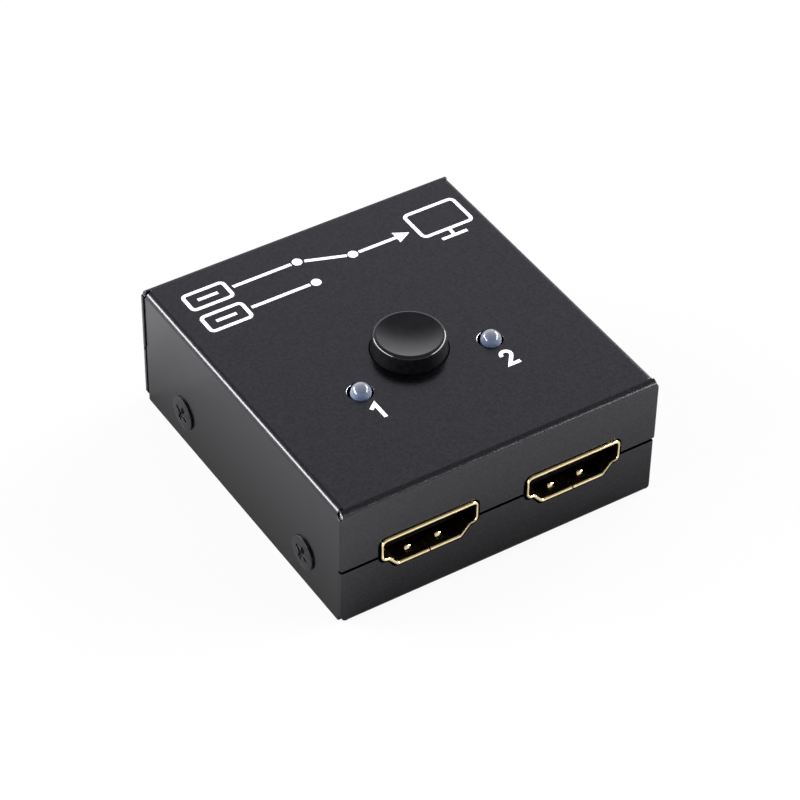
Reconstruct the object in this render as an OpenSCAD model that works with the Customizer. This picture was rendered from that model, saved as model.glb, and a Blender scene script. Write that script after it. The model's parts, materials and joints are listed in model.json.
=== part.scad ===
// Two-way video switch box. A folded sheet-metal cover and base hold one circuit board
// with two sockets at the front, one at the rear, a push button and two indicators.
// Millimetres, +Z up. The origin is the middle of the underside, the front faces -Y.

/* [Case] */
// Width of the case over the cover's side walls
case_w = 50.2; // [49:0.1:70]
// Depth of the case over the front and rear flanges
case_d = 53.4; // [51.4:0.5:80]
// Height of the case over the top plate
case_h = 20.1; // [19.4:0.1:24]
// Thickness of the folded sheet
sheet_t = 0.8; // [0.6:0.05:1]
// Inside radius of every fold
fold_r = 0.2; // [0.15:0.05:0.6]
// Height of the seam between the cover's and the base's flanges
seam_z = 9.6; // [9:0.1:11]
// Width of that seam
seam_gap = 0.4; // [0.1:0.05:0.6]
// Gap between the cover's side walls and the base inside them
nest_gap = 0.15; // [0.1:0.05:0.3]
// Gap between the side walls' ends and the flanges they meet
flange_gap = 0.03; // [0.02:0.01:0.2]
// How far the base's rear flange stands behind the cover's
rear_step = 0.35; // [0:0.05:0.5]
// Radius of the sheet's cut corners
corner_r = 0.3; // [0.2:0.1:0.9]
// Width of the relief slots beside the folds
relief_w = 0.25; // [0.15:0.05:0.5]
// Radius of the upright outer edges of the flanges, where the cover's folds stop short
flange_r = 0.4; // [0.2:0.05:0.6]
// How far the cover's flanges reach past the side walls at each end
flange_over = 0.2; // [0:0.05:0.3]
// Height of the side walls' lower edge above the underside
wall_lift = 0.1; // [0.05:0.05:0.5]
// Height of the lower corners of the base's flanges above the underside
wing_lift = 0.6; // [0.3:0.05:0.9]
// Radius of those lower corners
wing_r = 0.8; // [0.3:0.05:0.85]

/* [Side screws] */
// Distance between the two screws of one side
screw_pitch = 32.5; // [26:0.1:38]
// Distance of their middle behind the middle of the case (negative is forward)
screw_mid = -0.8; // [-2:0.1:1]
// Height of the side screws above the underside
screw_z = 5.5; // [4.8:0.05:6]
// Thread diameter of every screw
screw_d = 2.5; // [2:0.1:3]
// Length of a side screw below its head
side_screw_len = 4; // [3.2:0.1:4.5]
// Length of a board screw below its head
board_screw_len = 4.6; // [3:0.1:5]
// Diameter of a side screw's wide, low head
side_head_d = 5.1; // [4.4:0.1:5.6]
// Height of that head at its edge
side_head_edge = 0.3; // [0.3:0.05:0.6]
// Height that it rises from its edge to its middle
side_head_rise = 0.15; // [0.15:0.05:0.4]
// Diameter of a board screw's head
board_head_d = 4.6; // [4:0.1:5]
// Height of that head at its edge
board_head_edge = 0.45; // [0.3:0.05:0.8]
// Height that it rises from its edge to its middle
board_head_rise = 0.4; // [0.2:0.05:0.6]
// Span of the cross recess
recess_span = 2.9; // [2:0.1:3.2]
// Width of one bar of the cross recess
recess_w = 0.75; // [0.4:0.05:0.9]
// Depth of the bars of the cross recess
recess_depth = 0.33; // [0.2:0.01:0.35]
// Depth of the cross recess in its middle
recess_core = 1.1; // [0.6:0.1:1.4]
// Turn of the cross recess about its screw, in degrees
recess_turn = 25; // [0:5:85]
// Radial gap between a thread and its tapped hole
thread_gap = 0.05; // [0.02:0.01:0.1]
// Radial gap between a screw and a clearance hole
hole_gap = 0.2; // [0.1:0.05:0.4]
// Width of the base's screw ears
ear_w = 8; // [6.5:0.5:10]
// Height of an ear above its screw
ear_rise = 3; // [2:0.1:3.6]

/* [Sockets] */
// Distance between the two front sockets
port_pitch = 23; // [18:0.1:24]
// Height of the sockets' middle above the underside
port_z = 9.7; // [9.3:0.1:10.5]
// Width of a socket's opening
port_w = 14.3; // [13.9:0.05:14.4]
// Height of a socket's opening
port_h = 4.5; // [4.4:0.05:4.8]
// Width of the opening's lower edge, between the slanted shoulders
port_foot = 9.8; // [8.8:0.1:10.5]
// Distance of the shoulders' level steps below the socket's middle
port_shoulder = 0.65; // [0.4:0.05:1.2]
// Length of a level step between the opening's side and its slanted shoulder
port_step = 1.05; // [1:0.05:1.4]
// Radius of the opening's corners
port_corner = 0.45; // [0.2:0.05:0.5]
// Radius where a level step turns down into its shoulder
port_hollow = 0.9; // [0.85:0.05:1]
// Thickness of a socket's shell
shell_t = 0.3; // [0.25:0.01:0.35]
// Length of a socket's shell
shell_len = 11.6; // [11:0.1:12.5]
// Thickness of the rolled lip around a socket's mouth
lip_t = 0.25; // [0.1:0.05:0.3]
// Length of the rolled lip
lip_len = 0.8; // [0.4:0.1:0.9]
// How far a socket's mouth stands out of the case
port_proud = 0.35; // [0.3:0.05:1]
// Gap around the lip in the case's cut-out
port_gap = 0.25; // [0.2:0.05:0.5]
// Width of the seam along a shell's lower side
slit_w = 0.2; // [0.1:0.05:0.3]
// Width of a shell's mounting legs
leg_w = 1.4; // [1:0.1:2]
// How far the legs stand out below the board
leg_out = 0.7; // [0.4:0.1:1]
// Distance of the first pair of legs from the mouth
leg_first = 4.2; // [3.8:0.1:5]
// Distance of the second pair of legs from the mouth
leg_second = 9.6; // [8.5:0.1:10.3]
// Gap around a leg in its slot in the board
leg_gap = 0.12; // [0.05:0.01:0.2]

/* [Socket springs] */
// Distance of a grounding finger from the socket's middle
finger_x = 2.4; // [1.8:0.05:2.6]
// Width of a grounding finger
finger_w = 1; // [0.8:0.1:2]
// Thickness of a grounding finger
finger_t = 0.2; // [0.15:0.01:0.24]
// Distance of a finger's tip from the mouth
finger_tip = 1.35; // [1.35:0.05:1.6]
// Distance of the bend near a finger's tip from the mouth
finger_bend = 2.15; // [2:0.05:2.4]
// Distance of a finger's root from the mouth
finger_root = 6.6; // [5.6:0.1:6.8]
// How far a finger leans into the socket at that bend
finger_lean = 0.45; // [0.3:0.05:0.5]
// How far a finger's tip turns back from that bend
finger_curl = 0.8; // [0.4:0.05:0.8]
// Gap around a finger in its window
finger_gap = 0.2; // [0.1:0.05:0.2]

/* [Socket insides] */
// Distance of the insulating block from the mouth
block_y = 7.6; // [7.3:0.1:8.5]
// Distance of the tongue's tip from the mouth
tongue_tip = 2.3; // [2:0.1:3]
// Width of the tongue
tongue_w = 11.2; // [10.6:0.1:11.8]
// Thickness of the tongue
tongue_t = 1.8; // [1.4:0.1:2]
// Gap between the insulator and the metal it holds
insulator_gap = 0.02; // [0.01:0.005:0.03]
// Number of contacts in a socket
contact_count = 19; // [15:2:21]
// Spacing of the contacts
contact_pitch = 0.5; // [0.45:0.01:0.52]
// Width of a contact
contact_w = 0.28; // [0.2:0.01:0.34]
// Thickness of a contact
contact_t = 0.2; // [0.15:0.01:0.25]
// Distance of a contact's end behind the tongue's tip
contact_back = 0.5; // [0.3:0.1:1]
// How far the contact tails stand out behind the shell
tail_out = 0.35; // [0.25:0.05:0.5]
// Length of a tail's soldered foot
tail_foot = 0.6; // [0.3:0.1:0.9]

/* [Button] */
// Largest diameter of the button
button_d = 10.8; // [10.4:0.1:13]
// Diameter of the button below its rounded upper edge
button_top_d = 10.1; // [9.2:0.1:10.4]
// Radius of that edge
button_edge_r = 0.35; // [0.1:0.05:0.5]
// Distance of the button behind the middle of the case (negative is forward)
button_y = -3.3; // [-5:0.1:0]
// Height of the button's rim above the top plate
button_rise = 2.5; // [2.4:0.1:4]
// Depth of the dish in the button's top
dish_depth = 0.7; // [0.3:0.05:0.9]
// Width of the flat rim around the dish
rim_w = 0.05; // [0.05:0.05:0.5]
// Depth of the button's skirt below the top plate
skirt_depth = 1.1; // [0.6:0.1:1.3]
// Wall thickness of the button
button_wall = 1; // [0.8:0.1:1.4]
// Diameter of the boss that takes the plunger's stem
boss_d = 6; // [5.4:0.1:7]
// Radial gap between the button and its hole in the cover
button_gap = 0.1; // [0.1:0.05:0.6]
// Travel of the button
button_travel = 2; // [1:0.1:2.1]

/* [Push switch] */
// Width and depth of the switch
switch_w = 8.5; // [8.2:0.1:9.5]
// Height of the switch above the board
switch_h = 7.8; // [7.6:0.1:8]
// Thickness of the switch's base
switch_base_t = 1.4; // [1.2:0.1:1.5]
// Wall thickness of the switch's housing
switch_wall = 0.9; // [0.8:0.05:1]
// Gap around the plunger's carriage in the housing
carriage_gap = 0.2; // [0.1:0.05:0.3]
// Height of the plunger's carriage
carriage_h = 2.3; // [2.1:0.1:2.5]
// Gap between the carriage and the housing's roof at rest
stop_gap = 0.03; // [0.02:0.01:0.05]
// Width of the plunger's square stem
stem_w = 3.3; // [2.8:0.1:3.6]
// Gap around the stem in the housing's roof
stem_gap = 0.3; // [0.2:0.05:0.4]
// Gap around the stem in the button's boss
boss_gap = 0.03; // [0.02:0.01:0.05]
// Depth that the stem reaches into the boss
stem_grip = 2.6; // [2:0.1:3]
// Spacing of the switch's terminals
pin_pitch = 2.2; // [1.8:0.1:2.4]
// Width of a terminal
pin_w = 0.7; // [0.5:0.05:0.8]
// Thickness of a terminal
pin_t = 0.3; // [0.2:0.05:0.35]
// How far terminals and leads stand out below the board
pin_out = 1; // [0.6:0.1:1.4]
// Height of the fixed contacts above the switch's base
blade_h = 2.4; // [1.8:0.1:3]
// Width of a sliding contact bridge
bridge_w = 3.1; // [2.4:0.1:3.4]
// Height of a sliding contact bridge
bridge_h = 1.2; // [0.8:0.1:1.4]
// Thickness of a sliding contact bridge
bridge_t = 0.25; // [0.2:0.01:0.3]
// How far a contact bridge stands out of the carriage
bridge_out = 0.08; // [0.04:0.01:0.1]

/* [Return spring] */
// Outside diameter of the return spring
spring_d = 3.8; // [3:0.1:4.2]
// Thickness of the spring's wire
wire_d = 0.34; // [0.25:0.01:0.36]
// Number of turns of the return spring
spring_turns = 5; // [3.5:0.5:5]
// Depth of the spring's seat in the carriage
seat_depth = 1.3; // [1:0.1:1.4]
// Radial gap around the spring in its seat
seat_gap = 0.25; // [0.15:0.05:0.4]
// Gap at either end of the spring
spring_gap = 0.02; // [0.01:0.01:0.04]

/* [Indicators] */
// Distance between the two indicators
led_pitch = 20.9; // [18:0.1:26]
// Distance of the indicators behind the middle of the case (negative is forward)
led_y = -7.7; // [-9:0.1:-5]
// Diameter of an indicator's lens
led_d = 2.9; // [2.6:0.1:3.2]
// Diameter of the lens's flange
led_flange_d = 3.8; // [3.5:0.1:4.2]
// Height of the lens's flange
led_flange_h = 1; // [0.8:0.1:1.2]
// Height of a lens from its flange's underside to its top
led_h = 5.3; // [5:0.1:5.6]
// Radial gap between a lens and its hole in the cover, were they in line
led_gap = 0.4; // [0.25:0.05:0.7]
// Distance of the holes in the cover behind their lenses
led_set = 0.2; // [0:0.05:0.2]
// Radius of the rolled upper edges of those holes
roll_r = 0.12; // [0.08:0.01:0.2]
// Spacing of an indicator's leads
lead_pitch = 2.2; // [2:0.05:2.5]
// Width of an indicator's square leads
lead_w = 0.45; // [0.4:0.01:0.5]
// Diameter of the reflector cup inside a lens
cup_d = 1.5; // [1.2:0.05:1.7]
// Height of the reflector cup
cup_h = 0.9; // [0.6:0.05:1]
// Height of the leads inside a lens
lead_rise = 1.6; // [1.3:0.1:1.8]
// Gap around the leads inside a lens
lens_gap = 0.02; // [0.01:0.01:0.04]

/* [Circuit board] */
// Thickness of the circuit board
board_t = 1.6; // [1.2:0.1:1.6]
// Gap between the board and the case or the screw tips
board_gap = 0.5; // [0.3:0.1:0.8]
// Radial gap around round pins in the board's holes
pin_gap = 0.12; // [0.08:0.01:0.2]
// Diameter of the standoffs under the board
standoff_d = 4.6; // [4.2:0.1:5]
// Distance of the standoffs from the board's edges
standoff_inset = 3; // [2.6:0.1:3.5]
// Height of the blind end of a standoff's tapped hole above the underside
bore_floor = 1.5; // [1.2:0.1:1.8]
// Diameter of the standoffs' riveted feet in the base
spigot_d = 3.6; // [3.2:0.1:4]
// Radial gap around a riveted foot
spigot_gap = 0.02; // [0.01:0.01:0.04]
// How far the riveted feet stay above the underside
spigot_lift = 0.1; // [0.05:0.05:0.2]

/* [Chips] */
// Width of the video switching chip's body
chip_w = 7; // [6:0.1:8]
// Height of the chips' bodies
chip_h = 1.2; // [0.9:0.1:1.6]
// Gap between a chip's body and the board
chip_lift = 0.1; // [0.05:0.05:0.2]
// Leads on each side of the video chip
chip_lead_count = 12; // [8:1:12]
// Spacing of the video chip's leads
chip_pitch = 0.5; // [0.4:0.05:0.5]
// Width of a chip's leads
chip_lead_w = 0.24; // [0.18:0.01:0.3]
// Thickness of a chip's leads
chip_lead_t = 0.15; // [0.1:0.01:0.2]
// How far a chip's leads reach out of its body
chip_lead_out = 1; // [0.7:0.1:1.2]
// Length of the logic chip's body
logic_l = 4.9; // [4:0.1:5.5]
// Width of the logic chip's body
logic_w = 3.9; // [3:0.1:4.2]
// Leads on each long side of the logic chip
logic_lead_count = 4; // [3:1:4]
// Spacing of the logic chip's leads
logic_pitch = 1.2; // [1:0.05:1.27]
// Width and depth of a protection chip
guard_w = 2.6; // [2:0.1:3]
// Length of a capacitor
cap_l = 2; // [1.6:0.1:2.4]
// Width and height of a capacitor
cap_w = 1.25; // [0.8:0.05:1.4]
// Length of a resistor
res_l = 1.6; // [1:0.1:2]
// Width of a resistor
res_w = 0.8; // [0.5:0.05:1]
// Height of a resistor
res_h = 0.45; // [0.3:0.05:0.6]

/* [Hidden] */
$fn = 48;

// How far a cut runs past the face it opens
past = 0.1;

// Case
fold_out = fold_r + sheet_t;
floor_half = case_w / 2 - sheet_t - nest_gap;
wall_half = case_d / 2 - sheet_t - flange_gap;
seam_low = seam_z - seam_gap / 2;
seam_high = seam_z + seam_gap / 2;
ear_face = floor_half - sheet_t;

// Sockets and the board under them
shell_half_h = port_h / 2 + shell_t;
mouth_y = case_d / 2 + port_proud;
tail_y = shell_len + tail_out;
board_top = port_z - shell_half_h;
board_low = board_top - board_t;
screw_tip = case_w / 2 - side_screw_len;
board_half_w = screw_tip - board_gap;
board_half_d = case_d / 2 - sheet_t - board_gap;
leg_low = board_low - leg_out - port_z;
foot_z = board_top - port_z;
front_tail_y = -mouth_y + tail_y + tail_foot;
rear_tail_y = mouth_y - tail_y - tail_foot;

// Standoffs
standoff_x = board_half_w - standoff_inset;
standoff_rear = board_half_d - standoff_inset;
standoff_front = front_tail_y + standoff_d / 2 + board_gap;
standoff_spots = [for (x = [-standoff_x, standoff_x], y = [standoff_front, standoff_rear]) [x, y]];

// Push switch, from the board up
switch_floor = board_top + switch_base_t;
switch_top = board_top + switch_h;
well_half = switch_w / 2 - switch_wall;
carriage_half = well_half - carriage_gap;
carriage_top = switch_top - switch_wall - stop_gap;
carriage_low = carriage_top - carriage_h;
blade_y = well_half + insulator_gap;
blade_top = switch_floor + blade_h;
bridge_z = carriage_low + carriage_h / 2;
switch_pins = [for (x = [-pin_pitch, 0, pin_pitch], s = [-1, 1]) [x, s]];

// Button
rim_z = case_h + button_rise;
rim_r = button_top_d / 2 - button_edge_r;
dish_r = rim_r - rim_w;
dish_ball = (dish_r * dish_r + dish_depth * dish_depth) / (2 * dish_depth);
skirt_z = case_h - sheet_t - skirt_depth;
cap_roof = rim_z - dish_depth - button_wall;
stem_top = skirt_z + stem_grip;

// Return spring
spring_low = switch_floor + spring_gap;
spring_high = carriage_low + seat_depth - spring_gap;
spring_r = (spring_d - wire_d) / 2;
spring_steps = 8;
wire_sides = 6;

// Indicators
led_low = case_h + led_d / 2 - led_h;
led_dome = case_h;
lead_low = board_low - pin_out;
lead_top = led_low + lead_rise;

// Chips
chip_y = (button_y + switch_w / 2 + rear_tail_y) / 2;
logic_spot = [-(chip_w / 2 + chip_lead_out + logic_w / 2 + 2 * chip_lead_out), chip_y];
cap_column = chip_w / 2 + chip_lead_out + cap_l;
guard_spots = [
    [-port_pitch / 2, front_tail_y + guard_w / 2 + board_gap],
    [port_pitch / 2, front_tail_y + guard_w / 2 + board_gap],
    [cap_column + cap_l / 2 + board_gap + guard_w / 2, rear_tail_y - guard_w / 2 - board_gap]
];
cap_spots = [for (i = [-1 : 1]) [cap_column, chip_y - cap_w + i * 2 * cap_w]];
res_column = cap_column + cap_l / 2 + 2 * board_gap + guard_w + res_l / 2;
res_spots = [for (i = [-2 : 2]) [res_column, chip_y + i * 2 * res_w]];

// Wraps an angle to the half turn on either side of zero.
function wrapped(a) = a > 180 ? a - 360 : a < -180 ? a + 360 : a;

// Direction of a vector in the plane.
function heading(v) = atan2(v.y, v.x);

// Points of the arc that rounds the corner b between a and c.
function corner_arc(a, b, c, r, steps) =
    let (
        u = (a - b) / norm(a - b),
        v = (c - b) / norm(c - b),
        half = acos(u * v) / 2,
        reach = r / tan(half),
        middle = b + (u + v) / norm(u + v) * r / sin(half),
        first = heading(b + u * reach - middle),
        turn = wrapped(heading(b + v * reach - middle) - first)
    )
    [for (i = [0 : steps]) middle + r * [cos(first + turn * i / steps), sin(first + turn * i / steps)]];

// Outline with its corners rounded; a corner whose radius is 0 stays sharp.
function rounded(points, radii, steps = 5) =
    let (n = len(points))
    [for (i = [0 : n - 1])
        each radii[i] > 0
            ? corner_arc(points[(i + n - 1) % n], points[i], points[(i + 1) % n], radii[i], steps)
            : [points[i]]];

// Outline of a socket's opening, grown by g on every side.
function port_points(g) =
    let (
        step = [port_w / 2 - port_step, -port_shoulder],
        foot = [port_foot / 2, -port_h / 2],
        run = (foot - step) / norm(foot - step),
        out = [-run.y, run.x],
        level = out * step + g,
        x = port_w / 2 + g,
        z = port_h / 2 + g,
        ledge = port_shoulder + g,
        step_x = (level + out.y * ledge) / out.x,
        foot_x = (level + out.y * z) / out.x,
        bulge = port_corner + g,
        hollow = max(port_hollow - g, 0)
    )
    rounded([[x, z], [x, -ledge], [step_x, -ledge], [foot_x, -z],
            [-foot_x, -z], [-step_x, -ledge], [-x, -ledge], [-x, z]],
        [bulge, bulge, hollow, bulge, bulge, hollow, bulge, bulge]);

// Raises an outline drawn in x and z along +Y, from y = 0.
module along_y(length) {
    translate([0, length, 0])
        rotate([90, 0, 0])
            linear_extrude(length)
                children();
}

// Block centred on x and y, standing on z = 0.
module block(w, d, h) {
    translate([-w / 2, -d / 2, 0])
        cube([w, d, h]);
}

// Quarter fold along Y at the edge x = dist, turning from the top plate down.
module fold_down(dist, length) {
    translate([dist - fold_out, length / 2, case_h - fold_out])
        rotate([90, 0, 0])
            rotate_extrude(angle = 90)
                translate([fold_r, 0])
                    square([sheet_t, length]);
}

// Quarter fold along Y at the edge x = dist, turning from the floor up.
module fold_up(dist, length) {
    translate([0, 0, case_h])
        mirror([0, 0, 1])
            fold_down(dist, length);
}

// Flat flange whose outline is drawn in x and z out to x = half, standing inside the face y = -dist.
module flange(dist, half, points, radii) {
    intersection() {
        translate([0, -dist, 0])
            along_y(sheet_t)
                polygon(rounded(points, radii));
        linear_extrude(case_h)
            polygon(rounded(
                [[-half, -dist], [half, -dist], [half, 0], [-half, 0]],
                [flange_r, flange_r, 0, 0]));
    }
}

// Upper flange of the cover on the side facing -Y.
module cover_flange() {
    half = case_w / 2 + flange_over;
    top = case_h - fold_out;
    flange(case_d / 2, half,
        [[-half, seam_high], [half, seam_high], [half, top], [-half, top]],
        [corner_r, corner_r, 0, 0]);
    rotate([0, 0, -90])
        fold_down(case_d / 2, 2 * (half - flange_r));
}

// Lower flange of the base on the side facing -Y, with wings in front of the side walls.
module base_flange(dist) {
    half = case_w / 2;
    flange(dist, half,
        [[-half, wing_lift], [-floor_half, wing_lift], [-floor_half, fold_out], [floor_half, fold_out],
            [floor_half, wing_lift], [half, wing_lift], [half, seam_low], [-half, seam_low]],
        [wing_r, 0, 0, 0, 0, wing_r, corner_r, corner_r]);
    rotate([0, 0, -90])
        fold_up(dist, 2 * floor_half);
}

// Side wall of the cover at +X with its fold.
module cover_wall() {
    translate([case_w / 2, 0, 0])
        rotate([0, 0, 90])
            along_y(sheet_t)
                polygon(rounded(
                    [[-wall_half, wall_lift], [wall_half, wall_lift], [wall_half, case_h - fold_out],
                        [-wall_half, case_h - fold_out]],
                    [corner_r, corner_r, corner_r, corner_r]));
    fold_down(case_w / 2, case_d - 2 * fold_out - 2 * relief_w);
}

// Screw ear of the base at +X, around y = 0, with its fold.
module base_ear() {
    translate([floor_half, 0, 0])
        rotate([0, 0, 90])
            along_y(sheet_t)
                polygon(rounded(
                    [[-ear_w / 2, fold_out], [ear_w / 2, fold_out], [ear_w / 2, screw_z + ear_rise],
                        [-ear_w / 2, screw_z + ear_rise]],
                    [0, 0, corner_r, corner_r]));
    fold_up(floor_half, ear_w);
}

// Every place of a side screw, on the middle plane of the case.
module at_side_screws() {
    for (side = [0, 1], y = [-screw_pitch / 2, screw_pitch / 2])
        mirror([side, 0, 0])
            translate([0, screw_mid + y, 0])
                children();
}

// Hole for the side screws, from the middle of the case out.
module side_hole(d) {
    translate([ear_face - past, 0, screw_z])
        rotate([0, 90, 0])
            cylinder(d = d, h = case_w / 2 - ear_face + 2 * past);
}

// Puts a socket at the front (1 left, 2 right) or at the rear (3).
module at_port(i) {
    x = [-port_pitch / 2, port_pitch / 2, 0][i - 1];
    translate([x, i < 3 ? -mouth_y : mouth_y, port_z])
        rotate([0, 0, i < 3 ? 0 : 180])
            children();
}

// Cut-outs for every socket in the flanges.
module port_cuts() {
    for (i = [1 : 3])
        at_port(i)
            along_y(port_proud + sheet_t + past)
                polygon(port_points(shell_t + lip_t + port_gap));
}

// Cut for a round hole through the top plate, whose upper edge is rolled by the punch; top face on z = 0.
module rolled_hole(r) {
    steps = 6;
    edge = [for (i = [0 : steps])
        let (a = 90 * i / steps)
        [r + roll_r * (1 - cos(a)), roll_r * (sin(a) - 1)]];
    rotate_extrude()
        polygon(concat([[0, -sheet_t - past], [r, -sheet_t - past]], edge, [[r + roll_r, past], [0, past]]));
}

// Folded cover: top plate, two side walls and two upper flanges.
module top_cover() {
    color("#2b2b2f")
        difference() {
            union() {
                translate([0, 0, case_h - sheet_t])
                    block(case_w - 2 * fold_out, case_d - 2 * fold_out, sheet_t);
                for (turn = [0, 180])
                    rotate([0, 0, turn]) {
                        cover_wall();
                        cover_flange();
                    }
            }
            at_side_screws()
                side_hole(screw_d + 2 * hole_gap);
            port_cuts();
            translate([0, button_y, case_h - sheet_t - past])
                cylinder(d = button_d + 2 * button_gap, h = sheet_t + 2 * past);
            for (side = [-1, 1])
                translate([side * led_pitch / 2, led_y + led_set, case_h])
                    rolled_hole(led_d / 2 + led_gap);
        }
}

// Folded base: floor, two lower flanges and four screw ears.
module base_plate() {
    color("#28282c")
        difference() {
            union() {
                difference() {
                    translate([0, rear_step / 2, 0])
                        block(2 * floor_half, case_d + rear_step - 2 * fold_out, sheet_t);
                    at_side_screws()
                        translate([floor_half - fold_out, -ear_w / 2 - relief_w, -past])
                            cube([fold_out + past, ear_w + 2 * relief_w, sheet_t + 2 * past]);
                }
                base_flange(case_d / 2);
                rotate([0, 0, 180])
                    base_flange(case_d / 2 + rear_step);
                at_side_screws()
                    base_ear();
            }
            at_side_screws()
                side_hole(screw_d + 2 * thread_gap);
            port_cuts();
            for (spot = standoff_spots)
                translate([spot.x, spot.y, -past])
                    cylinder(d = spigot_d + 2 * spigot_gap, h = sheet_t + 2 * past);
        }
}

// Tapped standoffs riveted into the base under the board.
module standoffs() {
    color("#b9bcc0")
        for (spot = standoff_spots)
            translate([spot.x, spot.y, 0])
                difference() {
                    union() {
                        translate([0, 0, spigot_lift])
                            cylinder(d = spigot_d, h = sheet_t - spigot_lift);
                        translate([0, 0, sheet_t])
                            cylinder(d = standoff_d, h = board_low - sheet_t);
                    }
                    translate([0, 0, bore_floor])
                        cylinder(d = screw_d + 2 * thread_gap, h = board_low - bore_floor + past);
                }
}

// Low pan-head screw with a cross recess, head up, seated on z = 0.
module pan_screw(length, head_d, edge, rise) {
    steps = 5;
    head_h = edge + rise;
    dome = [for (i = [0 : steps])
        let (r = head_d / 2 * (1 - i / steps))
        [r, head_h - rise * pow(2 * r / head_d, 2)]];
    difference() {
        rotate_extrude()
            polygon(concat([[0, -length], [screw_d / 2, -length], [screw_d / 2, 0], [head_d / 2, 0]], dome));
        for (turn = [recess_turn, recess_turn + 90])
            rotate([0, 0, turn])
                translate([0, 0, head_h - recess_depth])
                    block(recess_span, recess_w, recess_depth + past);
        translate([0, 0, head_h - recess_core])
            cylinder(d1 = recess_w, d2 = 2 * recess_w, h = recess_core + past);
    }
}

module board_screws() {
    color("#c9ccd0")
        for (spot = standoff_spots)
            translate([spot.x, spot.y, board_top])
                pan_screw(board_screw_len, board_head_d, board_head_edge, board_head_rise);
}

module cover_screws() {
    color("#1d1d20")
        at_side_screws()
            translate([case_w / 2, 0, screw_z])
                rotate([0, 90, 0])
                    pan_screw(side_screw_len, side_head_d, side_head_edge, side_head_rise);
}

// Board with holes for the screws, socket legs, switch terminals and indicator leads.
module circuit_board() {
    color("#1f5d3a")
        difference() {
            translate([0, 0, board_low])
                block(2 * board_half_w, 2 * board_half_d, board_t);
            translate([0, 0, board_low - past]) {
                for (spot = standoff_spots)
                    translate([spot.x, spot.y, 0])
                        cylinder(d = screw_d + 2 * hole_gap, h = board_t + 2 * past);
                for (pin = switch_pins)
                    translate([pin.x, button_y + pin.y * (blade_y + pin_t / 2), 0])
                        cylinder(d = norm([pin_w, pin_t]) + 2 * pin_gap, h = board_t + 2 * past);
                for (side = [-1, 1], lead = [-1, 1])
                    translate([side * led_pitch / 2 + lead * lead_pitch / 2, led_y, 0])
                        cylinder(d = norm([lead_w, lead_w]) + 2 * pin_gap, h = board_t + 2 * past);
            }
            for (i = [1 : 3])
                at_port(i)
                    at_port_legs()
                        translate([shell_t / 2, 0, leg_low])
                            block(shell_t + 2 * leg_gap, leg_w + 2 * leg_gap, -leg_low);
        }
}

// The four places of a shell's legs, on the inside of its side walls.
module at_port_legs() {
    for (side = [-1, 1], y = [leg_first, leg_second])
        translate([side < 0 ? -port_w / 2 - shell_t : port_w / 2, y, 0])
            children();
}

// Grounding finger over its window in the shell's upper wall, leaning into the socket
// as far as a bend near its tip, which turns back out.
module finger() {
    low = port_h / 2 + shell_t / 2 - finger_t / 2;
    high = low + finger_t;
    run = finger_bend - finger_tip;
    tip_t = finger_t * norm([run, finger_curl]) / run;
    bend_in = finger_t * finger_curl / (run + norm([run, finger_curl]));
    translate([finger_w / 2, 0, 0])
        rotate([90, 0, -90])
            linear_extrude(finger_w)
                polygon([
                    [-finger_root - finger_t, low],
                    [-finger_root, low],
                    [-finger_bend, low - finger_lean],
                    [-finger_tip, low - finger_lean + finger_curl],
                    [-finger_tip, low - finger_lean + finger_curl + tip_t],
                    [-finger_bend - bend_in, high - finger_lean],
                    [-finger_root, high],
                    [-finger_root - finger_t, high]
                ]);
}

// Folded metal shell of a socket: mouth at y = 0, running into the case along +Y.
module port_shell() {
    color("#d8b25a") {
        difference() {
            union() {
                along_y(shell_len)
                    polygon(port_points(shell_t));
                along_y(lip_len)
                    polygon(port_points(shell_t + lip_t));
                at_port_legs()
                    translate([0, -leg_w / 2, leg_low])
                        cube([shell_t, leg_w, -leg_low]);
            }
            translate([0, -past, 0])
                along_y(shell_len + 2 * past)
                    polygon(port_points(0));
            translate([0, shell_len / 2, -port_h])
                block(slit_w, shell_len + 2 * past, port_h);
            for (side = [-1, 1])
                translate([side * finger_x, (finger_tip + finger_root - finger_gap) / 2, -port_h])
                    block(finger_w + 2 * finger_gap, finger_root - finger_tip + finger_gap, 2 * port_h);
        }
        for (side = [-1, 1], flip = [0, 1])
            translate([side * finger_x, 0, 0])
                mirror([0, 0, flip])
                    finger();
    }
}

// Contacts lie in turn on the tongue's upper and lower face; true for the upper ones.
function on_top(i) = i % 2 == 0;

// Distance of contact i from the socket's middle.
function contact_x(i) = (i - (contact_count - 1) / 2) * contact_pitch;

// Insulating block at the back of a socket, with the tongue that carries the contacts.
module port_insulator() {
    color("#17171a")
        difference() {
            union() {
                translate([0, block_y, 0])
                    along_y(shell_len - block_y)
                        polygon(port_points(-insulator_gap));
                translate([0, (tongue_tip + block_y + past) / 2, -tongue_t / 2])
                    block(tongue_w, block_y - tongue_tip + past, tongue_t);
            }
            for (i = [0 : contact_count - 1])
                translate([contact_x(i), 0, 0])
                    mirror([0, 0, on_top(i) ? 0 : 1])
                        contact_channel();
        }
}

// Channel for one contact along the tongue's upper face and through the block.
module contact_channel() {
    start = tongue_tip + contact_back - insulator_gap;
    translate([0, (start + shell_len + past) / 2, tongue_t / 2 - contact_t - insulator_gap])
        block(contact_w + 2 * insulator_gap, shell_len + past - start, contact_t + 2 * insulator_gap);
}

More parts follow.
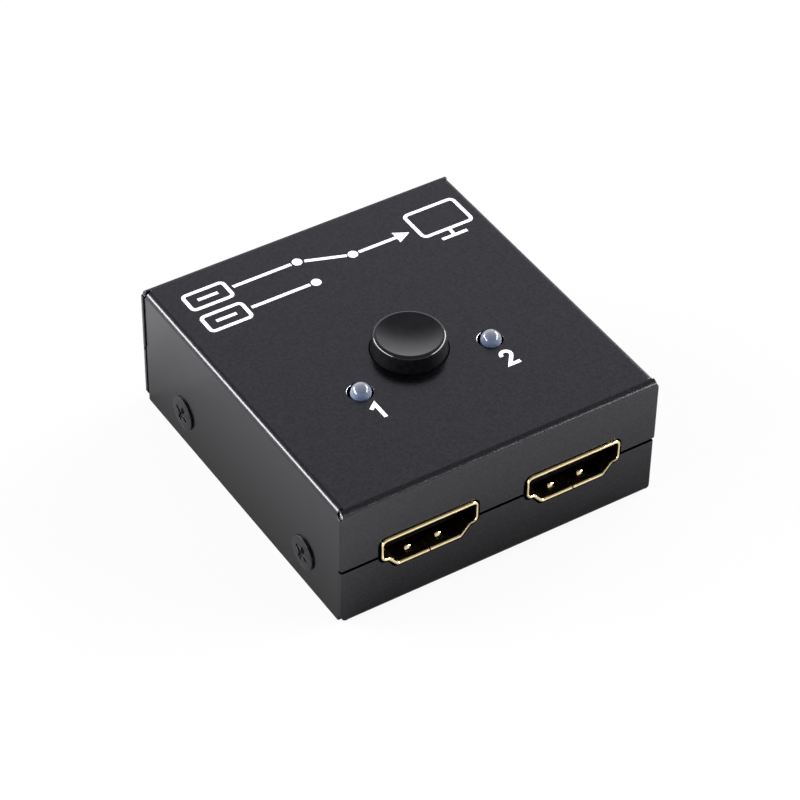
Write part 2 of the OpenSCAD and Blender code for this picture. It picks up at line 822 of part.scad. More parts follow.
// Contacts of a socket: a bar along the tongue, a tail down to the board and a foot on it.
module port_contacts() {
    color("#cfa64e")
        for (i = [0 : contact_count - 1]) {
            bar_z = on_top(i) ? tongue_t / 2 - contact_t : -tongue_t / 2;
            translate([contact_x(i) + contact_w / 2, 0, 0])
                rotate([90, 0, -90])
                    linear_extrude(contact_w)
                        polygon([
                            [-tongue_tip - contact_back, bar_z],
                            [-tail_y + contact_t, bar_z],
                            [-tail_y + contact_t, foot_z],
                            [-tail_y - tail_foot, foot_z],
                            [-tail_y - tail_foot, foot_z + contact_t],
                            [-tail_y, foot_z + contact_t],
                            [-tail_y, bar_z + contact_t],
                            [-tongue_tip - contact_back, bar_z + contact_t]
                        ]);
        }
}

module front_port_1_shell() {
    at_port(1)
        port_shell();
}

module front_port_1_insulator() {
    at_port(1)
        port_insulator();
}

module front_port_1_contacts() {
    at_port(1)
        port_contacts();
}

module front_port_2_shell() {
    at_port(2)
        port_shell();
}

module front_port_2_insulator() {
    at_port(2)
        port_insulator();
}

module front_port_2_contacts() {
    at_port(2)
        port_contacts();
}

module rear_port_shell() {
    at_port(3)
        port_shell();
}

module rear_port_insulator() {
    at_port(3)
        port_insulator();
}

module rear_port_contacts() {
    at_port(3)
        port_contacts();
}

// Round button with a dished top, hollow below, with a boss for the plunger's stem.
module button_cap() {
    steps = 6;
    low_r = button_d / 2;
    edge = [for (i = [0 : steps])
        let (a = 90 * i / steps)
        [rim_r + button_edge_r * sin(a), rim_z - button_edge_r * (1 - cos(a))]];
    color("#141416")
        translate([0, button_y, 0])
            difference() {
                rotate_extrude()
                    polygon(concat([[0, skirt_z], [0, rim_z]], edge, [[low_r, case_h], [low_r, skirt_z]]));
                translate([0, 0, rim_z - dish_depth + dish_ball])
                    sphere(r = dish_ball);
                difference() {
                    translate([0, 0, skirt_z - past])
                        cylinder(r = low_r - button_wall, h = cap_roof - skirt_z + past);
                    translate([0, 0, skirt_z - 2 * past])
                        cylinder(d = boss_d, h = cap_roof - skirt_z + 3 * past);
                }
                translate([0, 0, skirt_z - past])
                    block(stem_w + 2 * boss_gap, stem_w + 2 * boss_gap, stem_grip + boss_gap + past);
            }
}

// Plunger of the push switch: a carriage inside the housing and a square stem.
module switch_plunger() {
    color("#e9e7e0")
        translate([0, button_y, 0])
            difference() {
                union() {
                    translate([0, 0, carriage_low])
                        block(2 * carriage_half, 2 * carriage_half, carriage_h);
                    translate([0, 0, carriage_low])
                        block(stem_w, stem_w, stem_top - carriage_low);
                }
                translate([0, 0, carriage_low - past])
                    cylinder(d = spring_d + 2 * seat_gap, h = seat_depth + past);
                for (side = [-1, 1])
                    translate([0, side * carriage_half, bridge_z - bridge_h / 2 - insulator_gap])
                        block(bridge_w + 2 * insulator_gap, 2 * (bridge_t - bridge_out + insulator_gap),
                            bridge_h + 2 * insulator_gap);
            }
}

// Sliding contact strips in the carriage's sides.
module contact_bridges() {
    reach = carriage_half + bridge_out - bridge_t / 2;
    color("#c98f4a")
        for (side = [-1, 1])
            translate([0, button_y + side * reach, bridge_z - bridge_h / 2])
                block(bridge_w, bridge_t, bridge_h);
}

// Housing of the push switch over its base, open at the roof for the stem.
module switch_housing() {
    color("#1a1a1c")
        translate([0, button_y, 0])
            difference() {
                translate([0, 0, switch_floor])
                    block(switch_w, switch_w, switch_top - switch_floor);
                translate([0, 0, switch_floor - past])
                    block(2 * well_half, 2 * well_half, switch_top - switch_wall - switch_floor + past);
                translate([0, 0, switch_floor])
                    block(stem_w + 2 * stem_gap, stem_w + 2 * stem_gap, switch_top - switch_floor + past);
                for (pin = switch_pins)
                    translate([pin.x, pin.y * (blade_y + pin_t / 2), switch_floor - past])
                        block(pin_w + 2 * insulator_gap, pin_t + 2 * insulator_gap + past,
                            blade_h + insulator_gap + past);
            }
}

// Base of the push switch, on the board.
module switch_base() {
    color("#3a2f25")
        translate([0, button_y, board_top])
            difference() {
                block(switch_w, switch_w, switch_base_t);
                for (pin = switch_pins)
                    translate([pin.x, pin.y * (blade_y + pin_t / 2), -past])
                        block(pin_w + 2 * insulator_gap, pin_t + 2 * insulator_gap, switch_base_t + 2 * past);
            }
}

// Terminals of the push switch, from the fixed contacts down through the board.
module switch_terminals() {
    color("#c4c7cb")
        for (pin = switch_pins)
            translate([pin.x, button_y + pin.y * (blade_y + pin_t / 2), lead_low])
                block(pin_w, pin_t, blade_top - lead_low);
}

// Middle line of the spring's wire, and the outward direction at each of its points.
spring_points = [for (i = [0 : spring_turns * spring_steps])
    let (a = 360 * i / spring_steps)
    [spring_r * cos(a), spring_r * sin(a),
        spring_low + wire_d / 2
            + (spring_high - spring_low - wire_d) * i / (spring_turns * spring_steps)]];

// Least gap between one turn of the spring and the next, measured between points of the wire.
spring_clear = min([for (i = [0 : len(spring_points) - 1 - spring_steps])
    norm(spring_points[i + spring_steps] - spring_points[i])]) - wire_d;
echo(least_gap_of_return_spring = spring_clear);

// Ring of points around the wire at point i.
function wire_ring(i) =
    let (
        p = spring_points[i],
        out = [p.x, p.y, 0] / norm([p.x, p.y]),
        rise = (spring_high - spring_low - wire_d) / (spring_turns * 360),
        along = [-out.y, out.x, rise * 180 / PI / spring_r],
        ahead = along / norm(along),
        up = cross(out, ahead)
    )
    [for (k = [0 : wire_sides - 1])
        p + wire_d / 2 * (cos(360 * k / wire_sides) * out + sin(360 * k / wire_sides) * up)];

// Coiled return spring between the switch's base and its carriage.
module return_spring() {
    rings = len(spring_points);
    skin = [for (i = [0 : rings - 2], k = [0 : wire_sides - 1])
        let (a = i * wire_sides + k, b = i * wire_sides + (k + 1) % wire_sides)
        each [[a, b, b + wire_sides], [a, b + wire_sides, a + wire_sides]]];
    ends = [
        [for (k = [wire_sides - 1 : -1 : 0]) k],
        [for (k = [0 : wire_sides - 1]) (rings - 1) * wire_sides + k]
    ];
    color("#b8bbbf")
        translate([0, button_y, 0])
            polyhedron([for (i = [0 : rings - 1]) each wire_ring(i)], concat(skin, ends));
}

// Puts an indicator at the left (-1) or at the right (1).
module at_led(side) {
    translate([side * led_pitch / 2, led_y, 0])
        children();
}

// Square leads of an indicator; the left one carries the reflector cup inside the lens.
module led_pins(gap) {
    for (lead = [-1, 1])
        translate([lead * lead_pitch / 2, 0, lead_low])
            block(lead_w + 2 * gap, lead_w + 2 * gap, lead_top - lead_low + gap);
    translate([-lead_pitch / 4, 0, lead_top - lead_w - gap])
        block(lead_pitch / 2 + 2 * gap, lead_w + 2 * gap, lead_w + 2 * gap);
    translate([0, 0, lead_top - lead_w - gap])
        cylinder(d1 = cup_d / 2 + 2 * gap, d2 = cup_d + 2 * gap, h = cup_h + 2 * gap);
}

// Clear lens of an indicator with a domed top and a flange below.
module led_lens() {
    color("#cfd8e6", 0.6)
        difference() {
            union() {
                translate([0, 0, led_low])
                    cylinder(d = led_flange_d, h = led_flange_h);
                translate([0, 0, led_low])
                    cylinder(d = led_d, h = led_dome - led_low);
                translate([0, 0, led_dome])
                    intersection() {
                        sphere(d = led_d);
                        block(led_d, led_d, led_d);
                    }
            }
            led_pins(lens_gap);
        }
}

module led_leads() {
    color("#c4c7cb")
        led_pins(0);
}

module led_1_lens() {
    at_led(-1)
        led_lens();
}

module led_1_leads() {
    at_led(-1)
        led_leads();
}

module led_2_lens() {
    at_led(1)
        led_lens();
}

module led_2_leads() {
    at_led(1)
        led_leads();
}

// Row of bent chip leads along X, reaching from y = 0 out to -Y and down to the board.
module lead_row(count, pitch, w) {
    high = chip_lift + chip_h / 2;
    for (i = [0 : count - 1])
        translate([(i - (count - 1) / 2) * pitch + w / 2, 0, 0])
            rotate([90, 0, -90])
                linear_extrude(w)
                    polygon([
                        [0, high],
                        [chip_lead_out / 2, high],
                        [chip_lead_out / 2, chip_lead_t],
                        [chip_lead_out, chip_lead_t],
                        [chip_lead_out, 0],
                        [chip_lead_out / 2 - chip_lead_t, 0],
                        [chip_lead_out / 2 - chip_lead_t, high - chip_lead_t],
                        [0, high - chip_lead_t]
                    ]);
}

// Chip that takes one of the two pictures through to the rear socket.
module video_chip() {
    color("#202022")
        translate([0, chip_y, board_top + chip_lift])
            block(chip_w, chip_w, chip_h);
}

module video_chip_leads() {
    color("#c4c7cb")
        translate([0, chip_y, board_top])
            for (turn = [0 : 90 : 270])
                rotate([0, 0, turn])
                    translate([0, -chip_w / 2, 0])
                        lead_row(chip_lead_count, chip_pitch, chip_lead_w);
}

// Chip that remembers the chosen socket and lights its indicator.
module logic_chip() {
    color("#202022")
        translate([logic_spot.x, logic_spot.y, board_top + chip_lift])
            block(logic_w, logic_l, chip_h);
}

module logic_chip_leads() {
    color("#c4c7cb")
        translate([logic_spot.x, logic_spot.y, board_top])
            for (turn = [90, 270])
                rotate([0, 0, turn])
                    translate([0, -logic_w / 2, 0])
                        lead_row(logic_lead_count, logic_pitch, 1.5 * chip_lead_w);
}

// One protection chip behind each socket.
module protection_chips() {
    color("#232326")
        for (spot = guard_spots)
            translate([spot.x, spot.y, board_top])
                block(guard_w, guard_w, chip_h);
}

module capacitors() {
    color("#b39a74")
        for (spot = cap_spots)
            translate([spot.x, spot.y, board_top])
                block(cap_l, cap_w, cap_w);
}

module resistors() {
    color("#2a2a2e")
        for (spot = res_spots)
            translate([spot.x, spot.y, board_top])
                block(res_l, res_w, res_h);
}

top_cover();
base_plate();
standoffs();
board_screws();
cover_screws();
circuit_board();
front_port_1_shell();
front_port_1_insulator();
front_port_1_contacts();
front_port_2_shell();
front_port_2_insulator();
front_port_2_contacts();
rear_port_shell();
rear_port_insulator();
rear_port_contacts();
button_cap();
switch_plunger();
contact_bridges();
switch_housing();
switch_base();
switch_terminals();
return_spring();
led_1_lens();
led_1_leads();
led_2_lens();
led_2_leads();
video_chip();
video_chip_leads();
logic_chip();
logic_chip_leads();
protection_chips();
capacitors();
resistors();
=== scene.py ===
import json
import math

import bmesh
import bpy
from mathutils import Matrix, Vector

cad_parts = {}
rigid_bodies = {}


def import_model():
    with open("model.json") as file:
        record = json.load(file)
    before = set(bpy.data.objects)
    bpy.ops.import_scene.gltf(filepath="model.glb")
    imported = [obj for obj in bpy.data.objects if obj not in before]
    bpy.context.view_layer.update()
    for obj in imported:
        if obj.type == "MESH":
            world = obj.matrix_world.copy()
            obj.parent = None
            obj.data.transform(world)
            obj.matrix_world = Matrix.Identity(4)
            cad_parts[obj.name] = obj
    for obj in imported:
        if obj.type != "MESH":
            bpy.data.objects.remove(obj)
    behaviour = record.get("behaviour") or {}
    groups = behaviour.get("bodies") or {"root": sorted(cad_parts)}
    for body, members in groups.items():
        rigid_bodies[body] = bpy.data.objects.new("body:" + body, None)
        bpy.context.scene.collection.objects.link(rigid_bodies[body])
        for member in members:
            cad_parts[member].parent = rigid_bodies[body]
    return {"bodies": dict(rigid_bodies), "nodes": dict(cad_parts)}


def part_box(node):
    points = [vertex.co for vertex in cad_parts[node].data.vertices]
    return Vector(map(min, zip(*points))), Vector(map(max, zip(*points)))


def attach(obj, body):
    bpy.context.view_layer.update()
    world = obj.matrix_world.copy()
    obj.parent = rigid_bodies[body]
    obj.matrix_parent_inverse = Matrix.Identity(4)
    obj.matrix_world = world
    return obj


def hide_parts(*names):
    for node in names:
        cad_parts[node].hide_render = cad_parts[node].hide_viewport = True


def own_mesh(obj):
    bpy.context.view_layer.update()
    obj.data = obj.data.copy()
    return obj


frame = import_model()

# Looks of the two-way video switch box. Metres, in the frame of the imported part:
# +Z up, the front with two sockets faces -Y, the origin is the middle of the underside.

MM = 0.001
NODES = frame["nodes"]
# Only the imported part's nodes and bodies stay in the file
for spare in [o for o in bpy.data.objects if o not in NODES.values() and o not in frame["bodies"].values()]:
    bpy.data.objects.remove(spare)
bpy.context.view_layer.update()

# Height of the top plate, taken from the frame
TOP_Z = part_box("top_cover")[1].z


def middle(corners):
    """Middle of a box in x and y."""
    low, high = corners
    return Vector(((low.x + high.x) / 2, (low.y + high.y) / 2))


# Camera of the photograph, as solved from the case's edges and sockets. It looks at a point on
# the case's axis, from a turn about that axis and a rise above the floor.

PHOTO_PX = 800
FOCAL_PX = 3190.0
CAMERA_TURN = math.radians(-32.981)
CAMERA_RISE = math.radians(41.804)
CAMERA_ROLL = math.radians(1.058)
CAMERA_AWAY = 443.417 * MM
CAMERA_SIDE = 0.678 * MM
CAMERA_LIFT = -1.186 * MM
AIM_Z = 9.635 * MM
SENSOR_MM = 36
CLIP_START = 10 * MM


def add_camera():
    """Camera at the photograph's viewing angle."""
    back = Vector((math.sin(CAMERA_TURN) * math.cos(CAMERA_RISE),
                   -math.cos(CAMERA_TURN) * math.cos(CAMERA_RISE),
                   math.sin(CAMERA_RISE)))
    right = (-back).cross(Vector((0, 0, 1))).normalized()
    up = right.cross(-back)
    place = Vector((0, 0, AIM_Z)) + right * CAMERA_SIDE + up * CAMERA_LIFT + back * CAMERA_AWAY
    rolled_right = math.cos(CAMERA_ROLL) * right + math.sin(CAMERA_ROLL) * up
    rolled_up = math.cos(CAMERA_ROLL) * up - math.sin(CAMERA_ROLL) * right
    data = bpy.data.cameras.new("photo_camera")
    data.sensor_width = SENSOR_MM
    data.lens = FOCAL_PX * SENSOR_MM / PHOTO_PX
    data.clip_start = CLIP_START
    camera = bpy.data.objects.new("photo_camera", data)
    axes = Matrix((rolled_right, rolled_up, back)).transposed().to_4x4()
    camera.matrix_world = Matrix.Translation(place) @ axes
    bpy.context.scene.collection.objects.link(camera)
    bpy.context.scene.camera = camera


# Materials

# Where a noise's middle starts and ends, for numbers and for colours
NOISE_MIDDLE = (0.3, 0.7)
COLOUR_MIDDLE = (0.35, 0.65)
PATCH_DETAIL = 3.0
GRAIN_DETAIL = 2.0


def new_material(name):
    """Empty node material with its Principled shader."""
    material = bpy.data.materials.new(name)
    material.use_nodes = True
    shader = material.node_tree.nodes["Principled BSDF"]
    return material, material.node_tree, shader


def feed(tree, socket, value):
    """Links a node's output to a socket, or sets the socket to a constant."""
    if isinstance(value, bpy.types.NodeSocket):
        tree.links.new(value, socket)
    else:
        socket.default_value = value


def place_on(tree, kind):
    """Coordinates of a kind: Object or Generated."""
    return tree.nodes.new("ShaderNodeTexCoord").outputs[kind]


def split(tree, vector):
    """X, Y and Z of a vector."""
    parts = tree.nodes.new("ShaderNodeSeparateXYZ")
    tree.links.new(vector, parts.inputs[0])
    return parts.outputs


def maths(tree, operation, *values):
    """Result of one sum."""
    node = tree.nodes.new("ShaderNodeMath")
    node.operation = operation
    for socket, value in zip(node.inputs, values):
        feed(tree, socket, value)
    return node.outputs["Value"]


def map_range(tree, value, start, end, low=0.0, high=1.0, curve="LINEAR"):
    """Number that runs from low to high while a value runs from start to end."""
    ramp = tree.nodes.new("ShaderNodeMapRange")
    ramp.interpolation_type = curve
    ramp.inputs["From Min"].default_value = start
    ramp.inputs["From Max"].default_value = end
    ramp.inputs["To Min"].default_value = low
    ramp.inputs["To Max"].default_value = high
    tree.links.new(value, ramp.inputs["Value"])
    return ramp.outputs["Result"]


def mix_numbers(tree, share, first, second):
    """Number that runs from the first to the second while a share runs from 0 to 1."""
    mix = tree.nodes.new("ShaderNodeMix")
    mix.data_type = "FLOAT"
    for socket, value in ((0, share), (2, first), (3, second)):
        feed(tree, mix.inputs[socket], value)
    return mix.outputs[0]


def mix_colours(tree, share, first, second, blend="MIX"):
    """Colour that runs from the first to the second while a share runs from 0 to 1."""
    mix = tree.nodes.new("ShaderNodeMix")
    mix.data_type = "RGBA"
    mix.blend_type = blend
    for socket, value in ((0, share), (6, first), (7, second)):
        feed(tree, mix.inputs[socket], value)
    return mix.outputs[2]


def noise(tree, size, detail=PATCH_DETAIL):
    """Noise whose features are about size metres across."""
    texture = tree.nodes.new("ShaderNodeTexNoise")
    texture.inputs["Scale"].default_value = 1 / size
    texture.inputs["Detail"].default_value = detail
    tree.links.new(place_on(tree, "Object"), texture.inputs["Vector"])
    return texture.outputs["Fac"]


def spread(tree, factor, low, high):
    """Number that runs from low to high over the middle of a noise."""
    return map_range(tree, factor, *NOISE_MIDDLE, low, high)


def blend_colours(tree, factor, low, high):
    """Colour that runs from low to high while a factor crosses its middle."""
    ramp = tree.nodes.new("ShaderNodeValToRGB")
    for stop, position, colour in zip(ramp.color_ramp.elements, COLOUR_MIDDLE, (low, high)):
        stop.position = position
        stop.color = (*colour, 1)
    tree.links.new(factor, ramp.inputs["Fac"])
    return ramp.outputs["Color"]


def add_bump(tree, shader, height, depth):
    """Surface relief of the given depth in metres."""
    bump = tree.nodes.new("ShaderNodeBump")
    bump.inputs["Strength"].default_value = 1.0
    bump.inputs["Distance"].default_value = depth
    tree.links.new(height, bump.inputs["Height"])
    tree.links.new(bump.outputs["Normal"], shader.inputs["Normal"])


def finish_material(name, low, high, patch, rough, grain=None, depth=0.0, metal=0.0, specular=0.5):
    """Material with patchy colour and gloss, and a fine grain where one is given."""
    material, tree, shader = new_material(name)
    patches = noise(tree, patch)
    tree.links.new(blend_colours(tree, patches, low, high), shader.inputs["Base Color"])
    tree.links.new(spread(tree, patches, *rough), shader.inputs["Roughness"])
    shader.inputs["Metallic"].default_value = metal
    shader.inputs["Specular IOR Level"].default_value = specular
    if grain:
        add_bump(tree, shader, noise(tree, grain, GRAIN_DETAIL), depth)
    return material


# The case's paint is all shine and no body colour, so its colour is how much it mirrors.

PAINT_LOOK = dict(low=(0.044, 0.044, 0.047), high=(0.056, 0.056, 0.060), patch=0.35 * MM,
                  rough=(0.20, 0.26), grain=0.22 * MM, depth=0.003 * MM, metal=1.0)
FULL_SHINE = (1.0, 1.0, 1.0)
NO_SHINE = (0.0, 0.0, 0.0)
TOP_SLOPES = (0.80, 0.98)
TOP_SHINE = (0.45, 0.45, 0.45)
# Colour gain where the case faces up: painted light on the top plate
TOP_PAINTED_LIGHT = (1.3, 1.3, 1.3)
# Slopes and near-black colour for the base where it faces up: painted shade
BASE_UP_SLOPES = (0.05, 0.25)
BASE_PAINTED_SHADE = (0.002, 0.002, 0.002)


def facing_up(tree, start, end):
    """Share from 0 to 1 of how far a surface faces up, between two slopes."""
    normal = tree.nodes.new("ShaderNodeNewGeometry").outputs["Normal"]
    return map_range(tree, split(tree, normal)["Z"], start, end)


def paint_by_slope(name, slopes, shine, colour, blend):
    """The case's paint, with another shine at a glance and a colour blended in where it faces up: painted
    light on the top plate, painted shade on the base's upward edges.
    """
    material = finish_material(name, **PAINT_LOOK)
    tree = material.node_tree
    shader = tree.nodes["Principled BSDF"]
    share = facing_up(tree, *slopes)
    tree.links.new(blend_colours(tree, share, FULL_SHINE, shine), shader.inputs["Specular Tint"])
    painted = shader.inputs["Base Color"].links[0].from_socket
    tree.links.new(mix_colours(tree, share, painted, (*colour, 1), blend), shader.inputs["Base Color"])
    return material


# The top plate shines about as much at a glance as from above, and its colour is raised where it faces up:
# painted light on the top.
PAINT = paint_by_slope("case_paint", TOP_SLOPES, TOP_SHINE, TOP_PAINTED_LIGHT, "MULTIPLY")
# The base's edges that face up get no shine and a near-black colour: painted shade, which keeps them dark at
# the seam
BASE_PAINT = paint_by_slope("base_paint", BASE_UP_SLOPES, NO_SHINE, BASE_PAINTED_SHADE, "MIX")

SCREW_BLACK = finish_material("screw_black", (0.006, 0.006, 0.007), (0.014, 0.014, 0.016), 0.6 * MM,
                              (0.28, 0.42), grain=0.15 * MM, depth=0.004 * MM, metal=0.4)
GOLD = finish_material("gold_plate", (1.0, 0.80, 0.42), (1.0, 0.84, 0.48), 0.8 * MM,
                       (0.08, 0.13), metal=1.0)
# Gold painted dark for the sockets' contacts, inner walls, window edges and finger roots: painted shade
# inside the sockets
GOLD_PAINTED_SHADE = finish_material("gold_painted_shade", (0.020, 0.013, 0.006), (0.035, 0.023, 0.010), 0.8 * MM,
                            (0.35, 0.5), grain=0.3 * MM, depth=0.004 * MM, metal=1.0)
BLACK_PLASTIC = finish_material("socket_plastic", (0.0010, 0.0010, 0.0014), (0.0020, 0.0020, 0.0026),
                                0.7 * MM, (0.45, 0.6), grain=0.2 * MM, depth=0.004 * MM, specular=0.06)
BUTTON_PLASTIC = finish_material("button_plastic", (0.0025, 0.0025, 0.0032), (0.0040, 0.0040, 0.0050),
                                 1.2 * MM, (0.08, 0.13), grain=0.15 * MM, depth=0.0005 * MM)
BUTTON_SIDE = finish_material("button_side", (0.0025, 0.0025, 0.0032), (0.0045, 0.0045, 0.0055),
                              0.8 * MM, (0.30, 0.42), grain=0.15 * MM, depth=0.002 * MM, specular=0.08)
STEEL = finish_material("bright_steel", (0.55, 0.56, 0.58), (0.68, 0.69, 0.70), 0.5 * MM,
                        (0.22, 0.38), grain=0.2 * MM, depth=0.003 * MM, metal=1.0)
TIN = finish_material("tinned_leads", (0.66, 0.66, 0.66), (0.80, 0.80, 0.79), 0.4 * MM,
                      (0.18, 0.34), grain=0.15 * MM, depth=0.003 * MM, metal=1.0)
BROWN_LAMINATE = finish_material("switch_brown", (0.10, 0.055, 0.03), (0.15, 0.09, 0.05), 0.5 * MM,
                                 (0.5, 0.65), grain=0.1 * MM, depth=0.004 * MM)
WHITE_PLASTIC = finish_material("switch_white", (0.70, 0.69, 0.65), (0.80, 0.79, 0.75), 0.9 * MM,
                                (0.35, 0.5), grain=0.2 * MM, depth=0.003 * MM)
BOARD_GREEN = finish_material("board_green", (0.004, 0.020, 0.010), (0.007, 0.030, 0.015), 1.5 * MM,
                              (0.25, 0.4), grain=0.3 * MM, depth=0.004 * MM)
CHIP_BLACK = finish_material("chip_black", (0.012, 0.012, 0.013), (0.022, 0.022, 0.024), 0.3 * MM,
                             (0.55, 0.7), grain=0.12 * MM, depth=0.005 * MM)
CERAMIC = finish_material("ceramic_tan", (0.36, 0.25, 0.14), (0.46, 0.33, 0.20), 0.4 * MM,
                          (0.5, 0.65), grain=0.12 * MM, depth=0.004 * MM)
INK = finish_material("white_ink", (0.80, 0.80, 0.82), (0.88, 0.88, 0.90), 0.3 * MM,
                      (0.4, 0.55), grain=0.15 * MM, depth=0.003 * MM)


# Painted light in the lens: blue below a height and grey above it, and a pale painted sheen edge on
LENS_BLUE_BELOW = 0.72
LENS_BLUE = (0.10, 0.16, 0.31)
LENS_GREY = (0.16, 0.17, 0.21)
LENS_PAINTED_SHEEN = (0.42, 0.44, 0.48)
LENS_EDGE_BLEND = 0.3
LENS_PATCH = 1.0 * MM
LENS_ROUGH = (0.02, 0.04)
LENS_CLEAR = 0.35
LENS_IOR = 1.52


def lens_material():
    """Clear epoxy whose colour paints the light through it: blue low down and grey higher up, and pale where
    it is seen edge on, a painted sheen.
    """
    material, tree, shader = new_material("clear_lens")
    # Blue low down and grey higher up: painted light through the dome
    height = split(tree, place_on(tree, "Generated"))["Z"]
    rise = map_range(tree, height, LENS_BLUE_BELOW, 1.0)
    body = mix_colours(tree, rise, (*LENS_BLUE, 1), (*LENS_GREY, 1))
    # Pale where the lens is seen edge on: a painted sheen
    facing = tree.nodes.new("ShaderNodeLayerWeight")
    facing.inputs["Blend"].default_value = LENS_EDGE_BLEND
    colour = mix_colours(tree, facing.outputs["Facing"], body, (*LENS_PAINTED_SHEEN, 1))
    tree.links.new(colour, shader.inputs["Base Color"])
    tree.links.new(spread(tree, noise(tree, LENS_PATCH), *LENS_ROUGH), shader.inputs["Roughness"])
    shader.inputs["Transmission Weight"].default_value = LENS_CLEAR
    shader.inputs["IOR"].default_value = LENS_IOR
    return material


LENS = lens_material()

NODE_MATERIALS = {
    PAINT: ["top_cover"],
    BASE_PAINT: ["base_plate"],
    SCREW_BLACK: ["cover_screws"],
    GOLD: ["front_port_1_shell", "front_port_2_shell", "rear_port_shell", "contact_bridges"],
    # The contacts deep in the sockets take the gold painted dark: painted shade
    GOLD_PAINTED_SHADE: ["front_port_1_contacts", "front_port_2_contacts", "rear_port_contacts"],
    BLACK_PLASTIC: ["front_port_1_insulator", "front_port_2_insulator", "rear_port_insulator",
                    "switch_housing"],
    BUTTON_PLASTIC: ["button_cap"],
    STEEL: ["standoffs", "board_screws", "return_spring"],
    TIN: ["switch_terminals", "led_1_leads", "led_2_leads", "video_chip_leads", "logic_chip_leads"],
    BROWN_LAMINATE: ["switch_base"],
    WHITE_PLASTIC: ["switch_plunger"],
    LENS: ["led_1_lens", "led_2_lens"],
    BOARD_GREEN: ["circuit_board"],
    CHIP_BLACK: ["video_chip", "logic_chip", "protection_chips", "resistors"],
    CERAMIC: ["capacitors"],
}
for material, names in NODE_MATERIALS.items():
    for name in names:
        NODES[name].data.materials.clear()
        NODES[name].data.materials.append(material)


# Mesh tools

def add_piece(name, made, material, body):
    """Object of a finished bmesh that rides on a body and takes the finish of a slot."""
    bmesh.ops.recalc_face_normals(made, faces=made.faces)
    mesh = bpy.data.meshes.new(name)
    made.to_mesh(mesh)
    made.free()
    mesh.materials.append(material)
    piece = bpy.data.objects.new(name, mesh)
    bpy.context.scene.collection.objects.link(piece)
    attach(piece, body)
    return piece


def arc(centre, radius, start, end, steps):
    """Points of an arc in the plane, with its angles in degrees."""
    angles = [math.radians(start + (end - start) * i / steps) for i in range(steps + 1)]
    return [(centre[0] + radius * math.cos(a), centre[1] + radius * math.sin(a)) for a in angles]


ON_AXIS = 0.0001 * MM


def lathe(profile, centre, turns):
    """Closed round solid about a vertical axis. The profile runs from the axis back to the axis."""
    made = bmesh.new()
    rings = []
    for radius, height in profile:
        if radius < ON_AXIS:
            rings.append([made.verts.new((centre.x, centre.y, height))])
            continue
        around = arc(centre, radius, 0, 360, turns)[:-1]
        rings.append([made.verts.new((x, y, height)) for x, y in around])
    for low, high in zip(rings, rings[1:]):
        for i in range(turns):
            j = (i + 1) % turns
            if len(low) == 1:
                made.faces.new((low[0], high[i], high[j]))
            elif len(high) == 1:
                made.faces.new((low[i], low[j], high[0]))
            else:
                made.faces.new((low[i], low[j], high[j], high[i]))
    for face in made.faces:
        face.smooth = True
    return made


def fillet(before, corner, after, radius, steps=6):
    """Points that round the corner of a profile."""
    corner = Vector(corner)
    back = (Vector(before) - corner).normalized()
    ahead = (Vector(after) - corner).normalized()
    half = back.angle(ahead) / 2
    reach = radius / math.tan(half)
    hub = corner + (back + ahead).normalized() * (radius / math.sin(half))
    first, last = corner + back * reach - hub, corner + ahead * reach - hub
    points = []
    for i in range(steps + 1):
        way = first.lerp(last, i / steps).normalized() * radius
        points.append(tuple(hub + way))
    return points


def rounded(start, corners, end):
    """Line from start to end around corners, each given as a point and the radius that rounds it."""
    path = [start] + [point for point, radius in corners] + [end]
    points = [start]
    for i, (point, radius) in enumerate(corners, start=1):
        points += fillet(path[i - 1], point, path[i + 1], radius)
    return points + [end]


def tube(rings):
    """Closed tube through rings of points, each with as many points as the first."""
    made = bmesh.new()
    rings = [[made.verts.new(spot) for spot in ring] for ring in rings]
    sides = len(rings[0])
    for near, far in zip(rings, rings[1:]):
        for k in range(sides):
            made.faces.new((near[k], near[(k + 1) % sides], far[(k + 1) % sides], far[k]))
    made.faces.new(rings[0])
    made.faces.new(rings[-1])
    return made


def ring(spot, first, second, radius, sides):
    """Points of a circle about a spot, in the plane of two directions."""
    turns = [2 * math.pi * k / sides for k in range(sides)]
    return [spot + radius * (first * math.cos(t) + second * math.sin(t)) for t in turns]


def soften(piece, angle=40):
    """Smooth shading up to an angle between faces."""
    for polygon in piece.data.polygons:
        polygon.use_smooth = True
    piece.data.set_sharp_from_angle(angle=math.radians(angle))


# Sockets

# Section of the opening
PORT_W = 14.3 * MM
PORT_H = 4.5 * MM
PORT_FOOT = 9.8 * MM
PORT_SHOULDER = 0.65 * MM
PORT_STEP = 0.85 * MM
PORT_CORNER = 0.45 * MM
PORT_HOLLOW = 0.9 * MM
PORT_HOLLOW_LEAST = 0.02 * MM
CORNER_STEPS = 10

# Shell and its rolled lip, which is thinner at the sides and at the two shoulders
SHELL_T = 0.3 * MM
SHELL_LEN = 11.6 * MM
SLIT_W = 0.2 * MM
LIP_T = 0.25 * MM
LIP_LEN = 0.8 * MM
LIP_R = (SHELL_T + LIP_T) / 2
LIP_CHAMFER = LIP_T * 0.4
LIP_SIDE_IN = 0.08 * MM
LIP_SIDE_T = 0.36 * MM
LIP_SHOULDER_T = (0.22 * MM, 0.48 * MM)

